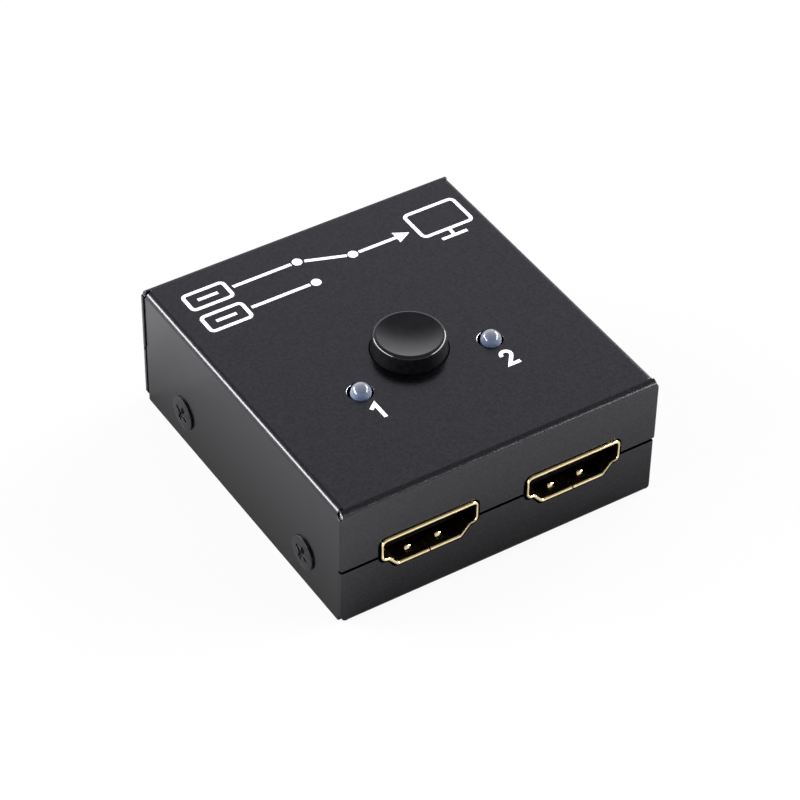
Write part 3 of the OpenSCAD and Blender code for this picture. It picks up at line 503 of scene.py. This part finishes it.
# Grounding fingers: depths behind the mouth, and how far they lean in and curl back
FINGER_X = 2.4 * MM
FINGER_W = 0.95 * MM
FINGER_T = 0.2 * MM
FINGER_TIP = 1.66 * MM
FINGER_BEND = 2.1 * MM
FINGER_ROOT = 6.6 * MM
FINGER_LEAN = 0.27 * MM
FINGER_CURL = 0.73 * MM
FINGER_GAP = 0.2 * MM
FINGER_BEND_R = 0.2 * MM
FINGER_CROWN = 0.10 * MM
FINGER_COLUMNS = 8
WINDOW_START = 0.85 * MM
WINDOW_EDGES = [FINGER_X - FINGER_W / 2 - FINGER_GAP, FINGER_X + FINGER_W / 2 + FINGER_GAP]

# Soldered legs
LEG_W = 1.4 * MM
LEG_SPOTS = (4.2 * MM, 9.6 * MM)


def port_outline(grow):
    """Right half of a socket's section, grown by an amount, from the slit below to the middle above."""
    step = Vector((PORT_W / 2 - PORT_STEP, -PORT_SHOULDER))
    foot = Vector((PORT_FOOT / 2, -PORT_H / 2))
    run = (foot - step).normalized()
    outward = Vector((-run.y, run.x))
    level = outward.dot(step) + grow
    wide, high, ledge = PORT_W / 2 + grow, PORT_H / 2 + grow, PORT_SHOULDER + grow
    step_x = (level + outward.y * ledge) / outward.x
    foot_x = (level + outward.y * high) / outward.x
    bulge, hollow = PORT_CORNER + grow, max(PORT_HOLLOW - grow, PORT_HOLLOW_LEAST)
    corners = [(foot_x, -high), (step_x, -ledge), (wide, -ledge), (wide, high)]
    near, far = WINDOW_EDGES
    line = [(SLIT_W / 2, -high), (near, -high), (far, -high)]
    path = [line[-1]] + corners + [(far, high)]
    for i, radius in enumerate((bulge, hollow, bulge, bulge), start=1):
        line += fillet(path[i - 1], path[i], path[i + 1], radius, CORNER_STEPS)
    return line + [(far, high), (near, high)]


def lip_outline(grow, shoulder_t):
    """Right half of the section, grown less at its shoulder and side, where the lip is thinner."""
    full = port_outline(grow)
    side = port_outline(LIP_SIDE_IN + grow * LIP_SIDE_T / (2 * LIP_R))
    shoulder = port_outline(LIP_SIDE_IN / 2 + grow * shoulder_t / (2 * LIP_R))
    rise = [i / CORNER_STEPS for i in range(CORNER_STEPS + 1)]
    fall, off, on = rise[::-1], [0] * len(rise), [1] * len(rise)
    # A share for each point: three along the bottom, four rounded corners and two along the top
    at_shoulder = [0] * 3 + rise + on + fall + off + [0] * 2
    at_side = [0] * 3 + off + off + rise + fall + [0] * 2
    line = []
    for whole, thin, slim, k, m in zip(full, shoulder, side, at_shoulder, at_side, strict=True):
        line.append(tuple(w + (t - w) * k + (s - w) * m for w, t, s in zip(whole, thin, slim)))
    return line


def shell_profile():
    """Depth behind the mouth and growth of the section, around the shell's wall and its round lip."""
    lip = [(LIP_R - LIP_R * math.sin(math.radians(t)), LIP_R - LIP_R * math.cos(math.radians(t)))
           for t in range(0, 181, 15)]
    inner = [(SHELL_LEN, 0), (FINGER_ROOT, 0), (WINDOW_START, 0)]
    roll = [(LIP_LEN - LIP_CHAMFER, 2 * LIP_R), (LIP_LEN, 2 * LIP_R - LIP_CHAMFER), (LIP_LEN, SHELL_T)]
    outer = [(WINDOW_START, SHELL_T), (FINGER_ROOT, SHELL_T), (SHELL_LEN, SHELL_T)]
    return inner + lip + roll + outer


def add_shell_wall(made, place):
    """Swept wall of a socket's shell with its slit and the windows of its fingers."""
    profile = shell_profile()
    rings = []
    for depth, grow in profile:
        half, other = (lip_outline(grow, t) for t in LIP_SHOULDER_T)
        around = half + [(-x, z) for x, z in reversed(other)]
        rings.append([made.verts.new(place(x, depth, z)) for x, z in around])
    last, count = len(profile), len(rings[0])
    # Windows open the inner wall between rings 1 and 2, and the outer one between the same depths
    spans = [1, len(half) - 2, count - len(half), count - 3]
    gaps = {(1, i) for i in spans} | {(last - 3, i) for i in spans}
    for j in range(last):
        low, high = rings[j], rings[(j + 1) % last]
        for i in range(count - 1):
            if (j, i) not in gaps:
                face = made.faces.new((low[i], low[i + 1], high[i + 1], high[i]))
                # The inner wall behind the lip takes the second slot, gold painted dark as painted shade
                face.material_index = 1 if j < 3 else 0
    # The windows' edges take the same painted shade
    for i in spans:
        inner_back, inner_front, outer_front, outer_back = (rings[j] for j in (1, 2, last - 3, last - 2))
        for front, back in ((inner_front, outer_front), (inner_back, outer_back)):
            made.faces.new((front[i], front[i + 1], back[i + 1], back[i])).material_index = 1
        for k in (i, i + 1):
            made.faces.new((inner_back[k], inner_front[k], outer_front[k], outer_back[k])).material_index = 1
    for i in (0, count - 1):
        made.faces.new([ring[i] for ring in rings])


def finger_lines():
    """Inner and outer line of a finger: depth behind the mouth and distance from its wall's middle."""
    bend = (FINGER_BEND, -FINGER_LEAN)
    root = (FINGER_ROOT + FINGER_T, 0)
    tip = (FINGER_TIP, FINGER_CURL - FINGER_LEAN)
    line = [Vector(p) for p in [root, (FINGER_ROOT, 0)] + fillet(root, bend, tip, FINGER_BEND_R, 8) + [tip]]
    inner, outer = [], []
    for i, spot in enumerate(line):
        along = (line[min(i + 1, len(line) - 1)] - line[max(i - 1, 0)]).normalized()
        across = Vector((-along.y, along.x)) * FINGER_T / 2
        inner.append(spot + across)
        outer.append(spot - across)
    return inner, outer


def add_finger(made, place, middle_x, side):
    """Bent grounding finger with a crowned tip, in the upper (1) or the lower (-1) wall."""
    wall = PORT_H / 2 + SHELL_T / 2
    columns = FINGER_COLUMNS
    sheets = []
    for line in finger_lines():
        sheet = []
        for k in range(columns + 1):
            across = 2 * k / columns - 1
            drop = FINGER_CROWN * across ** 2
            sheet.append([made.verts.new(place(middle_x + across * FINGER_W / 2, p.x,
                                               side * (wall + p.y + (drop if p.x < FINGER_ROOT else 0))))
                          for p in line])
        sheets.append(sheet)
    inner, outer = sheets
    rows = len(inner[0])
    for sheet in sheets:
        for k in range(columns):
            for i in range(rows - 1):
                face = made.faces.new((sheet[k][i], sheet[k + 1][i], sheet[k + 1][i + 1], sheet[k][i + 1]))
                # The finger's root rows take the gold painted dark: painted shade
                face.material_index = 1 if i < 2 else 0
    # The finger's sides take the same painted shade
    for k in (0, columns):
        for i in range(rows - 1):
            made.faces.new((inner[k][i], inner[k][i + 1], outer[k][i + 1], outer[k][i])).material_index = 1
    for i in (0, rows - 1):
        for k in range(columns):
            made.faces.new((inner[k][i], inner[k + 1][i], outer[k + 1][i], outer[k][i]))


def add_leg(made, place, side, depth, low):
    """Soldered leg below the side wall of a shell, with a pointed end."""
    near, far = side * PORT_W / 2, side * (PORT_W / 2 + SHELL_T)
    half, tip = LEG_W / 2, LEG_W / 4
    line = [(-half, 0), (-half, low + tip), (-tip, low), (tip, low), (half, low + tip), (half, 0)]
    sheets = [[made.verts.new(place(x, depth + y, z)) for y, z in line] for x in (near, far)]
    for sheet in sheets:
        made.faces.new(sheet)
    for i in range(len(line)):
        j = (i + 1) % len(line)
        made.faces.new((sheets[0][i], sheets[0][j], sheets[1][j], sheets[1][i]))


def add_socket(node, turned):
    """Rolled shell of a socket with its fingers and legs, in place of the plain one."""
    low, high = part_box(node)
    axis_x = (low.x + high.x) / 2
    axis_z = high.z - PORT_H / 2 - SHELL_T - LIP_T
    mouth = high.y if turned else low.y
    way = -1 if turned else 1

    def place(x, depth, z):
        return axis_x + way * x, mouth + way * depth, axis_z + z

    made = bmesh.new()
    add_shell_wall(made, place)
    for side in (-1, 1):
        for finger_side in (-1, 1):
            add_finger(made, place, finger_side * FINGER_X, side)
        for depth in LEG_SPOTS:
            add_leg(made, place, side, depth, low.z - axis_z)
    piece = add_piece(node.replace("shell", "sleeve"), made, GOLD, "enclosure")
    # Second slot: gold painted dark, a painted shade for the inside of the socket
    piece.data.materials.append(GOLD_PAINTED_SHADE)
    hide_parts(node)
    soften(piece)


# Push button

BUTTON_LOW, BUTTON_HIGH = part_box("button_cap")
BUTTON_AXIS = middle((BUTTON_LOW, BUTTON_HIGH))
BUTTON_R = (BUTTON_HIGH.x - BUTTON_LOW.x) / 2
BUTTON_TOP_R = 5.05 * MM
BUTTON_EDGE_R = 0.45 * MM
BUTTON_WALL = 1.0 * MM
BUTTON_TURNS = 192
DISH_DEPTH = 0.7 * MM
DISH_STEPS = 24
DISH_EDGE_R = 0.02 * MM
RIM_W = 0.05 * MM
WAIST_R = 0.3 * MM
SKIRT_R = 0.12 * MM
ROOF_R = 0.2 * MM
BOSS_R = 3.0 * MM
BOSS_EDGE_R = 0.08 * MM
STEM_CLEAR_R = 2.38 * MM
STEM_CLEAR_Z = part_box("switch_plunger")[1].z + 0.03 * MM
SIDE_SLOPE = 0.35


def button_profile():
    """Half section of the button: dish, rim, tapered side, skirt, hollow and boss."""
    top, low = BUTTON_HIGH.z, BUTTON_LOW.z
    dish_r = BUTTON_TOP_R - RIM_W - BUTTON_EDGE_R
    ball = (dish_r ** 2 + DISH_DEPTH ** 2) / (2 * DISH_DEPTH)
    lean = math.asin(dish_r / ball)
    tilts = [lean * i / DISH_STEPS for i in range(DISH_STEPS)]
    dish = [(ball * math.sin(t), top - DISH_DEPTH + ball * (1 - math.cos(t))) for t in tilts]
    inner_r = BUTTON_R - BUTTON_WALL
    roof = top - DISH_DEPTH - BUTTON_WALL
    corners = [((dish_r, top), DISH_EDGE_R), ((BUTTON_TOP_R, top), BUTTON_EDGE_R),
               ((BUTTON_R, TOP_Z), WAIST_R),
               ((BUTTON_R, low), SKIRT_R), ((inner_r, low), SKIRT_R),
               ((inner_r, roof), ROOF_R), ((BOSS_R, roof), ROOF_R),
               ((BOSS_R, low), BOSS_EDGE_R), ((STEM_CLEAR_R, low), BOSS_EDGE_R),
               ((STEM_CLEAR_R, STEM_CLEAR_Z), BOSS_EDGE_R)]
    return dish[:-1] + rounded(dish[-1], corners, (0, STEM_CLEAR_Z))


def add_button():
    """Glossy dished button in place of the plain one."""
    made = lathe(button_profile(), BUTTON_AXIS, BUTTON_TURNS)
    piece = add_piece("push_button", made, BUTTON_PLASTIC, "button")
    piece.data.materials.append(BUTTON_SIDE)
    for polygon in piece.data.polygons:
        if abs(polygon.normal.z) < SIDE_SLOPE:
            polygon.material_index = 1
    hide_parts("button_cap")
    soften(piece)


# Indicators

LENS_FLANGE_H = 0.9 * MM
LENS_R = 1.45 * MM
LENS_FOOT_R = 0.1 * MM
LENS_FLANGE_R = 0.12 * MM
LENS_STEPS = 24
LENS_TURNS = 96


def add_lens(side):
    """Domed clear lens in place of the plain one."""
    low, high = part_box(f"led_{side}_lens")
    flange_r = (high.x - low.x) / 2
    ledge = low.z + LENS_FLANGE_H
    dome = arc((0, high.z - LENS_R), LENS_R, 90, 0, LENS_STEPS)
    corners = [((LENS_R, ledge), LENS_FOOT_R), ((flange_r, ledge), LENS_FLANGE_R),
               ((flange_r, low.z), LENS_FLANGE_R)]
    profile = dome[:-1] + rounded(dome[-1], corners, (0, low.z))
    made = lathe(profile, middle((low, high)), LENS_TURNS)
    piece = add_piece(f"led_{side}_dome", made, LENS, "enclosure")
    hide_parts(f"led_{side}_lens")
    soften(piece)


# Painted glints: thin bright metal strips placed where highlights fall on edges

HOLE_R = 1.85 * MM
HOLE_BACK = 0.2 * MM
HOLE_GLINT_R = 0.07 * MM
HOLE_GLINT_ARC = (98, 168)
HOLE_GLINT_STEPS = 20
FOLD_END_X = 24.9 * MM
FOLD_R = 1.0 * MM
CORNER_GLINT_R = 0.13 * MM
CORNER_GLINT_ARC = (118, 165)
CORNER_GLINT_STEPS = 12
GLINT_SIDES = 8
GLINT_END = 0.25
WIRE_ANGLE = 60


def add_painted_glint(name, spots, axis, thickest):
    """Painted glint: a thin round line of bright metal along an edge in the plane across the axis, thinning
    out at both ends.
    """
    last = len(spots) - 1
    rings = []
    for i, spot in enumerate(spots):
        along = (spots[min(i + 1, last)] - spots[max(i - 1, 0)]).normalized()
        thick = thickest * (GLINT_END + (1 - GLINT_END) * math.sin(math.pi * i / last))
        rings.append(ring(spot, along.cross(axis), axis, thick, GLINT_SIDES))
    piece = add_piece(name, tube(rings), STEEL, "enclosure")
    soften(piece, WIRE_ANGLE)


def add_hole_glint(side):
    """Painted glint: bright metal on the rolled edge of an indicator's hole, on its left, where a highlight
    falls.
    """
    hub = middle(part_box(f"led_{side}_lens")) + Vector((0, HOLE_BACK))
    line = arc(hub, HOLE_R, *HOLE_GLINT_ARC, HOLE_GLINT_STEPS)
    spots = [Vector((x, y, TOP_Z - HOLE_GLINT_R)) for x, y in line]
    add_painted_glint(f"hole_{side}_bare_edge", spots, Vector((0, 0, 1)), HOLE_GLINT_R)


def add_corner_glint():
    """Painted glint: bright metal on the left end of the cover's front fold, where a highlight falls."""
    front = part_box("top_cover")[0].y
    hub = (front + FOLD_R, TOP_Z - FOLD_R)
    line = arc(hub, FOLD_R - CORNER_GLINT_R, *CORNER_GLINT_ARC, CORNER_GLINT_STEPS)
    spots = [Vector((-FOLD_END_X, y, z)) for y, z in line]
    add_painted_glint("corner_bare_edge", spots, Vector((1, 0, 0)), CORNER_GLINT_R)


# Return spring

SPRING_TURNS = 5
SPRING_WIRE_R = 0.17 * MM
SPRING_STEPS = SPRING_TURNS * 32
SPRING_SIDES = 10


def add_spring():
    """Smooth coil in place of the plain one."""
    low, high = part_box("return_spring")
    axis = middle((low, high))
    coil_r = (high.x - low.x) / 2 - SPRING_WIRE_R
    rise = high.z - low.z - 2 * SPRING_WIRE_R
    rings = []
    for i in range(SPRING_STEPS + 1):
        turn = 2 * math.pi * SPRING_TURNS * i / SPRING_STEPS
        outward = Vector((math.cos(turn), math.sin(turn), 0))
        spot = Vector((axis.x, axis.y, low.z + SPRING_WIRE_R + rise * i / SPRING_STEPS)) + outward * coil_r
        rings.append(ring(spot, outward, Vector((0, 0, 1)), SPRING_WIRE_R, SPRING_SIDES))
    piece = add_piece("switch_spring", tube(rings), STEEL, "enclosure")
    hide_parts("return_spring")
    soften(piece, WIRE_ANGLE)
    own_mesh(piece)


# White print on the top plate: two plain digits and a plain routing sign, laid out in millimetres

INK_UP = 0.016 * MM
INK_DOWN = 0.004 * MM
MITRE_LEAST = 0.3


def plate(made, outline):
    """Adds a thin closed plate of ink with the given outline, in millimetres on the top plate."""
    tops = [made.verts.new((x * MM, y * MM, TOP_Z + INK_UP)) for x, y in outline]
    lows = [made.verts.new((x * MM, y * MM, TOP_Z - INK_DOWN)) for x, y in outline]
    made.faces.new(tops)
    made.faces.new(lows[::-1])
    for i in range(len(outline)):
        j = (i + 1) % len(outline)
        made.faces.new((tops[i], lows[i], lows[j], tops[j]))


def mitred(points, width, closed):
    """Points on the two sides of a stroke."""
    lefts, rights = [], []
    count = len(points)
    for i in range(count):
        spot = Vector(points[i])
        before = Vector(points[i - 1]) if closed or i > 0 else None
        after = Vector(points[(i + 1) % count]) if closed or i < count - 1 else None
        legs = ((before, spot), (spot, after))
        ways = [(b - a).normalized() for a, b in legs if a is not None and b is not None]
        along = sum(ways, Vector((0, 0))).normalized()
        across = Vector((-along.y, along.x))
        half = width / 2 / max(MITRE_LEAST, along.dot(ways[0]))
        lefts.append(spot + across * half)
        rights.append(spot - across * half)
    return lefts, rights


def stroke(made, points, width, closed=False):
    """Adds a stroke of ink along a line, or around a closed one."""
    lefts, rights = mitred(points, width, closed)
    count = len(points)
    corners = []
    for i in range(count):
        corners.append([made.verts.new((p.x * MM, p.y * MM, z)) for p in (lefts[i], rights[i])
                        for z in (TOP_Z + INK_UP, TOP_Z - INK_DOWN)])
    for i in range(count if closed else count - 1):
        left_up, left_low, right_up, right_low = corners[i]
        next_left_up, next_left_low, next_right_up, next_right_low = corners[(i + 1) % count]
        made.faces.new((left_up, right_up, next_right_up, next_left_up))
        made.faces.new((left_low, next_left_low, next_right_low, right_low))
        made.faces.new((left_up, next_left_up, next_left_low, left_low))
        made.faces.new((right_up, right_low, next_right_low, next_right_up))
    if not closed:
        for a, b, c, d in (corners[0], corners[-1]):
            made.faces.new((a, b, d, c))


def add_print(name, made):
    """Ink that stays with the case."""
    return add_piece(name, made, INK, "enclosure")


DIGIT_STROKE = 0.57
DIGIT_TOP = -10.35
DIGIT_FOOT = -13.65
DIGIT_1_X = -10.08
FLAG_REACH = 0.98
FLAG_TIP = 0.98
FLAG_TOP = 0.22
STEM_FOOT = 0.12
DIGIT_2_X = 10.48
BOW_R = 0.72
BOW_ARC = (188, -38)
BOW_STEPS = 20
BASE_LEFT = 0.62
BASE_RIGHT = 1.02


def add_digits():
    """Plain digits 1 and 2 in front of their indicators."""
    made = bmesh.new()
    stroke(made, [(DIGIT_1_X - FLAG_REACH, DIGIT_TOP - FLAG_TIP), (DIGIT_1_X, DIGIT_TOP - FLAG_TOP),
                  (DIGIT_1_X, DIGIT_FOOT + STEM_FOOT)], DIGIT_STROKE)
    add_print("digit_1", made)
    made = bmesh.new()
    bow = (DIGIT_2_X, DIGIT_TOP - DIGIT_STROKE / 2 - BOW_R)
    base_y = DIGIT_FOOT + DIGIT_STROKE / 2
    base = [(DIGIT_2_X - BASE_LEFT, base_y), (DIGIT_2_X + BASE_RIGHT, base_y)]
    stroke(made, arc(bow, BOW_R, *BOW_ARC, BOW_STEPS) + base, DIGIT_STROKE)
    add_print("digit_2", made)


SIGN_STROKE = 0.55
SIGN_Y = 17.8
SOURCE_X = -18.0
SOURCE_SIZE = (6.4, 3.4, 0.6)
SOURCE_SLOT = 3.2
SOURCE_RISE = 2.6
WIRE_START = -14.0
WIRE_END = -4.6
CONTACT_X = -3.6
PIVOT_X = 4.0
DOT_R = 0.75
DOT_POINTS = 24
LEVER = ((-2.6, -0.35), (3.1, 0.2))
ARROW_START = 5.0
ARROW_NECK = 11.2
ARROW_TIP = 13.4
ARROW_HALF = 1.2
SCREEN_X = 18.7
SCREEN_RISE = 0.7
SCREEN_SIZE = (8.2, 5.6, 0.7)
STAND_DROPS = (2.375, 3.475)
STAND_FOOT_DROP = 3.75
STAND_FOOT_HALF = 2.1


def frame_line(x, y, width, height, radius):
    """Outline of a rectangle with round corners."""
    line = []
    for k, (sx, sy) in enumerate(((1, 1), (-1, 1), (-1, -1), (1, -1))):
        hub = (x + sx * (width / 2 - radius), y + sy * (height / 2 - radius))
        line += arc(hub, radius, 90 * k, 90 * k + 90, 6)
    return line


def dot(made, x, y):
    """Adds a round dot of ink."""
    plate(made, arc((x, y), DOT_R, 0, 360, DOT_POINTS)[:-1])


def add_sign():
    """Plain sign: two sources, a change-over and one screen."""
    made = bmesh.new()
    upper = SIGN_Y + SOURCE_RISE
    for y in (upper, SIGN_Y - SOURCE_RISE):
        stroke(made, frame_line(SOURCE_X, y, *SOURCE_SIZE), SIGN_STROKE, True)
        stroke(made, [(SOURCE_X - SOURCE_SLOT / 2, y), (SOURCE_X + SOURCE_SLOT / 2, y)], SIGN_STROKE)
        stroke(made, [(WIRE_START, y), (WIRE_END, y)], SIGN_STROKE)
        dot(made, CONTACT_X, y)
    (near_x, near_rise), (far_x, far_rise) = LEVER
    stroke(made, [(near_x, upper + near_rise), (far_x, SIGN_Y + far_rise)], SIGN_STROKE)
    dot(made, PIVOT_X, SIGN_Y)
    stroke(made, [(ARROW_START, SIGN_Y), (ARROW_NECK, SIGN_Y)], SIGN_STROKE)
    plate(made, [(ARROW_NECK, SIGN_Y - ARROW_HALF), (ARROW_TIP, SIGN_Y), (ARROW_NECK, SIGN_Y + ARROW_HALF)])
    stroke(made, frame_line(SCREEN_X, SIGN_Y + SCREEN_RISE, *SCREEN_SIZE), SIGN_STROKE, True)
    stroke(made, [(SCREEN_X, SIGN_Y - drop) for drop in STAND_DROPS], SIGN_STROKE)
    foot_y = SIGN_Y - STAND_FOOT_DROP
    stroke(made, [(SCREEN_X - STAND_FOOT_HALF, foot_y), (SCREEN_X + STAND_FOOT_HALF, foot_y)], SIGN_STROKE)
    add_print("routing_sign", made)


# Rounded edges on the CAD's own pieces

SAME_SPOT = 0.0005 * MM
FLAT_ANGLE = math.radians(0.4)
SHARP_ANGLE = math.radians(40)
CASE_EDGE = 0.1 * MM
SCREW_EDGE = 0.05 * MM


def round_edges(name, width, clamp=False):
    """Rounds the sharp edges of a CAD node by modifiers, over its unchanged mesh."""
    node = NODES[name]
    weld = node.modifiers.new("weld", "WELD")
    weld.merge_threshold = SAME_SPOT
    flat = node.modifiers.new("flat", "DECIMATE")
    flat.decimate_type = "DISSOLVE"
    flat.angle_limit = FLAT_ANGLE
    bevel = node.modifiers.new("bevel", "BEVEL")
    bevel.width = width
    bevel.segments = 3
    bevel.limit_method = "ANGLE"
    bevel.angle_limit = SHARP_ANGLE
    bevel.use_clamp_overlap = clamp
    bevel.miter_outer = "MITER_ARC"
    normals = node.modifiers.new("normals", "WEIGHTED_NORMAL")
    normals.weight = 50


round_edges("top_cover", CASE_EDGE)
round_edges("base_plate", CASE_EDGE, clamp=True)
round_edges("cover_screws", SCREW_EDGE)
for shell, rear in (("front_port_1_shell", False), ("front_port_2_shell", False), ("rear_port_shell", True)):
    add_socket(shell, rear)
add_button()
for number in (1, 2):
    add_lens(number)
    add_hole_glint(number)
add_corner_glint()
add_spring()
add_digits()
add_sign()


# Floor, light and world

CASE_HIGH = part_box("base_plate")[1]
FLOOR_HALF = 2.0
FLOOR_Z = -0.02 * MM
FLOOR_FAR = 0.62
FLOOR_NEAR = 0.28
FLOOR_FADE = 14 * MM
SHADOW_SHARE = 0.06
FLOOR_WHITE = 0.90
ROOM_TINT = (0.955, 0.935, 1.0)
WHITE = (1.0, 1.0, 1.0)
OVERHEAD_LIGHT = 0.27
FRONT_LIGHT = 0.85
REAR_LIGHT = 1.35
REAR_WAY = (0.544, 0.839, 0.0)
REAR_RISE = 0.2
WALL_TOP = (0.22, 0.74)
SOFTBOX_AWAY = 0.8
SOFTBOX_W = 1.3
SOFTBOX_H = 0.20
LEFT_WAY = (-0.81, 0.47, 0.38)
LEFT_WATTS = 19
RIGHT_WAY = (0.87, -0.20, 0.46)
RIGHT_WATTS = 16


def near_case(tree):
    """Paleness of the floor for bounced light: darker close to the case, where it is shaded."""
    parts = split(tree, place_on(tree, "Object"))
    gap_x = maths(tree, "SUBTRACT", maths(tree, "ABSOLUTE", parts["X"]), CASE_HIGH.x)
    gap_y = maths(tree, "SUBTRACT", maths(tree, "ABSOLUTE", parts["Y"]), CASE_HIGH.y)
    return map_range(tree, maths(tree, "MAXIMUM", gap_x, gap_y), 0.0, FLOOR_FADE, FLOOR_NEAR, FLOOR_FAR)


def floor_material():
    """Pale floor, white to the camera, that keeps a faint shadow."""
    material = bpy.data.materials.new("pale_floor")
    material.use_nodes = True
    tree = material.node_tree
    tree.nodes.clear()
    out = tree.nodes.new("ShaderNodeOutputMaterial")
    path = tree.nodes.new("ShaderNodeLightPath")
    bounced = tree.nodes.new("ShaderNodeBsdfDiffuse")
    tree.links.new(near_case(tree), bounced.inputs["Color"])
    shadowed = tree.nodes.new("ShaderNodeBsdfDiffuse")
    shadowed.inputs["Color"].default_value = (SHADOW_SHARE, SHADOW_SHARE, SHADOW_SHARE, 1)
    white = tree.nodes.new("ShaderNodeEmission")
    white.inputs["Strength"].default_value = FLOOR_WHITE
    seen = tree.nodes.new("ShaderNodeAddShader")
    tree.links.new(shadowed.outputs[0], seen.inputs[0])
    tree.links.new(white.outputs[0], seen.inputs[1])
    mix = tree.nodes.new("ShaderNodeMixShader")
    tree.links.new(path.outputs["Is Camera Ray"], mix.inputs[0])
    tree.links.new(bounced.outputs[0], mix.inputs[1])
    tree.links.new(seen.outputs[0], mix.inputs[2])
    tree.links.new(mix.outputs[0], out.inputs["Surface"])
    return material


def add_floor():
    """Plain floor, a hair under the case so that the two faces don't coincide."""
    mesh = bpy.data.meshes.new("floor")
    corners = [(x * FLOOR_HALF, y * FLOOR_HALF, FLOOR_Z) for x, y in ((-1, -1), (1, -1), (1, 1), (-1, 1))]
    mesh.from_pydata(corners, [], [(0, 1, 2, 3)])
    floor = bpy.data.objects.new("floor", mesh)
    floor.data.materials.append(floor_material())
    bpy.context.scene.collection.objects.link(floor)


def add_softbox(name, direction, power):
    """Long area lamp facing the case from a direction."""
    data = bpy.data.lights.new(name, "AREA")
    data.shape = "RECTANGLE"
    data.size = SOFTBOX_W
    data.size_y = SOFTBOX_H
    data.energy = power
    lamp = bpy.data.objects.new(name, data)
    facing = Vector(direction).normalized()
    lamp.location = facing * SOFTBOX_AWAY
    lamp.rotation_euler = facing.to_track_quat("Z", "Y").to_euler()
    bpy.context.scene.collection.objects.link(lamp)


def add_world():
    """Studio with a white wall behind the case, darker in front, grey overhead and white to the camera."""
    world = bpy.data.worlds.new("studio")
    world.use_nodes = True
    tree = world.node_tree
    shade = tree.nodes["Background"]
    seen = tree.nodes.new("ShaderNodeLightPath").outputs["Is Camera Ray"]
    tree.links.new(mix_colours(tree, seen, (*ROOM_TINT, 1), (*WHITE, 1)), shade.inputs["Color"])
    way = place_on(tree, "Generated")
    towards = tree.nodes.new("ShaderNodeVectorMath")
    towards.operation = "DOT_PRODUCT"
    tree.links.new(way, towards.inputs[0])
    towards.inputs[1].default_value = REAR_WAY
    rearward = towards.outputs["Value"]
    wall = map_range(tree, rearward, -1.0, 1.0, FRONT_LIGHT, REAR_LIGHT)
    level = maths(tree, "MULTIPLY_ADD", rearward, -REAR_RISE, split(tree, way)["Z"])
    overhead = map_range(tree, level, *WALL_TOP, curve="SMOOTHSTEP")
    around = mix_numbers(tree, overhead, wall, OVERHEAD_LIGHT)
    tree.links.new(mix_numbers(tree, seen, around, 1.0), shade.inputs["Strength"])
    bpy.context.scene.world = world


add_camera()
add_world()
add_floor()
add_softbox("left_softbox", LEFT_WAY, LEFT_WATTS)
add_softbox("right_softbox", RIGHT_WAY, RIGHT_WATTS)
bpy.context.scene.view_settings.view_transform = "Standard"
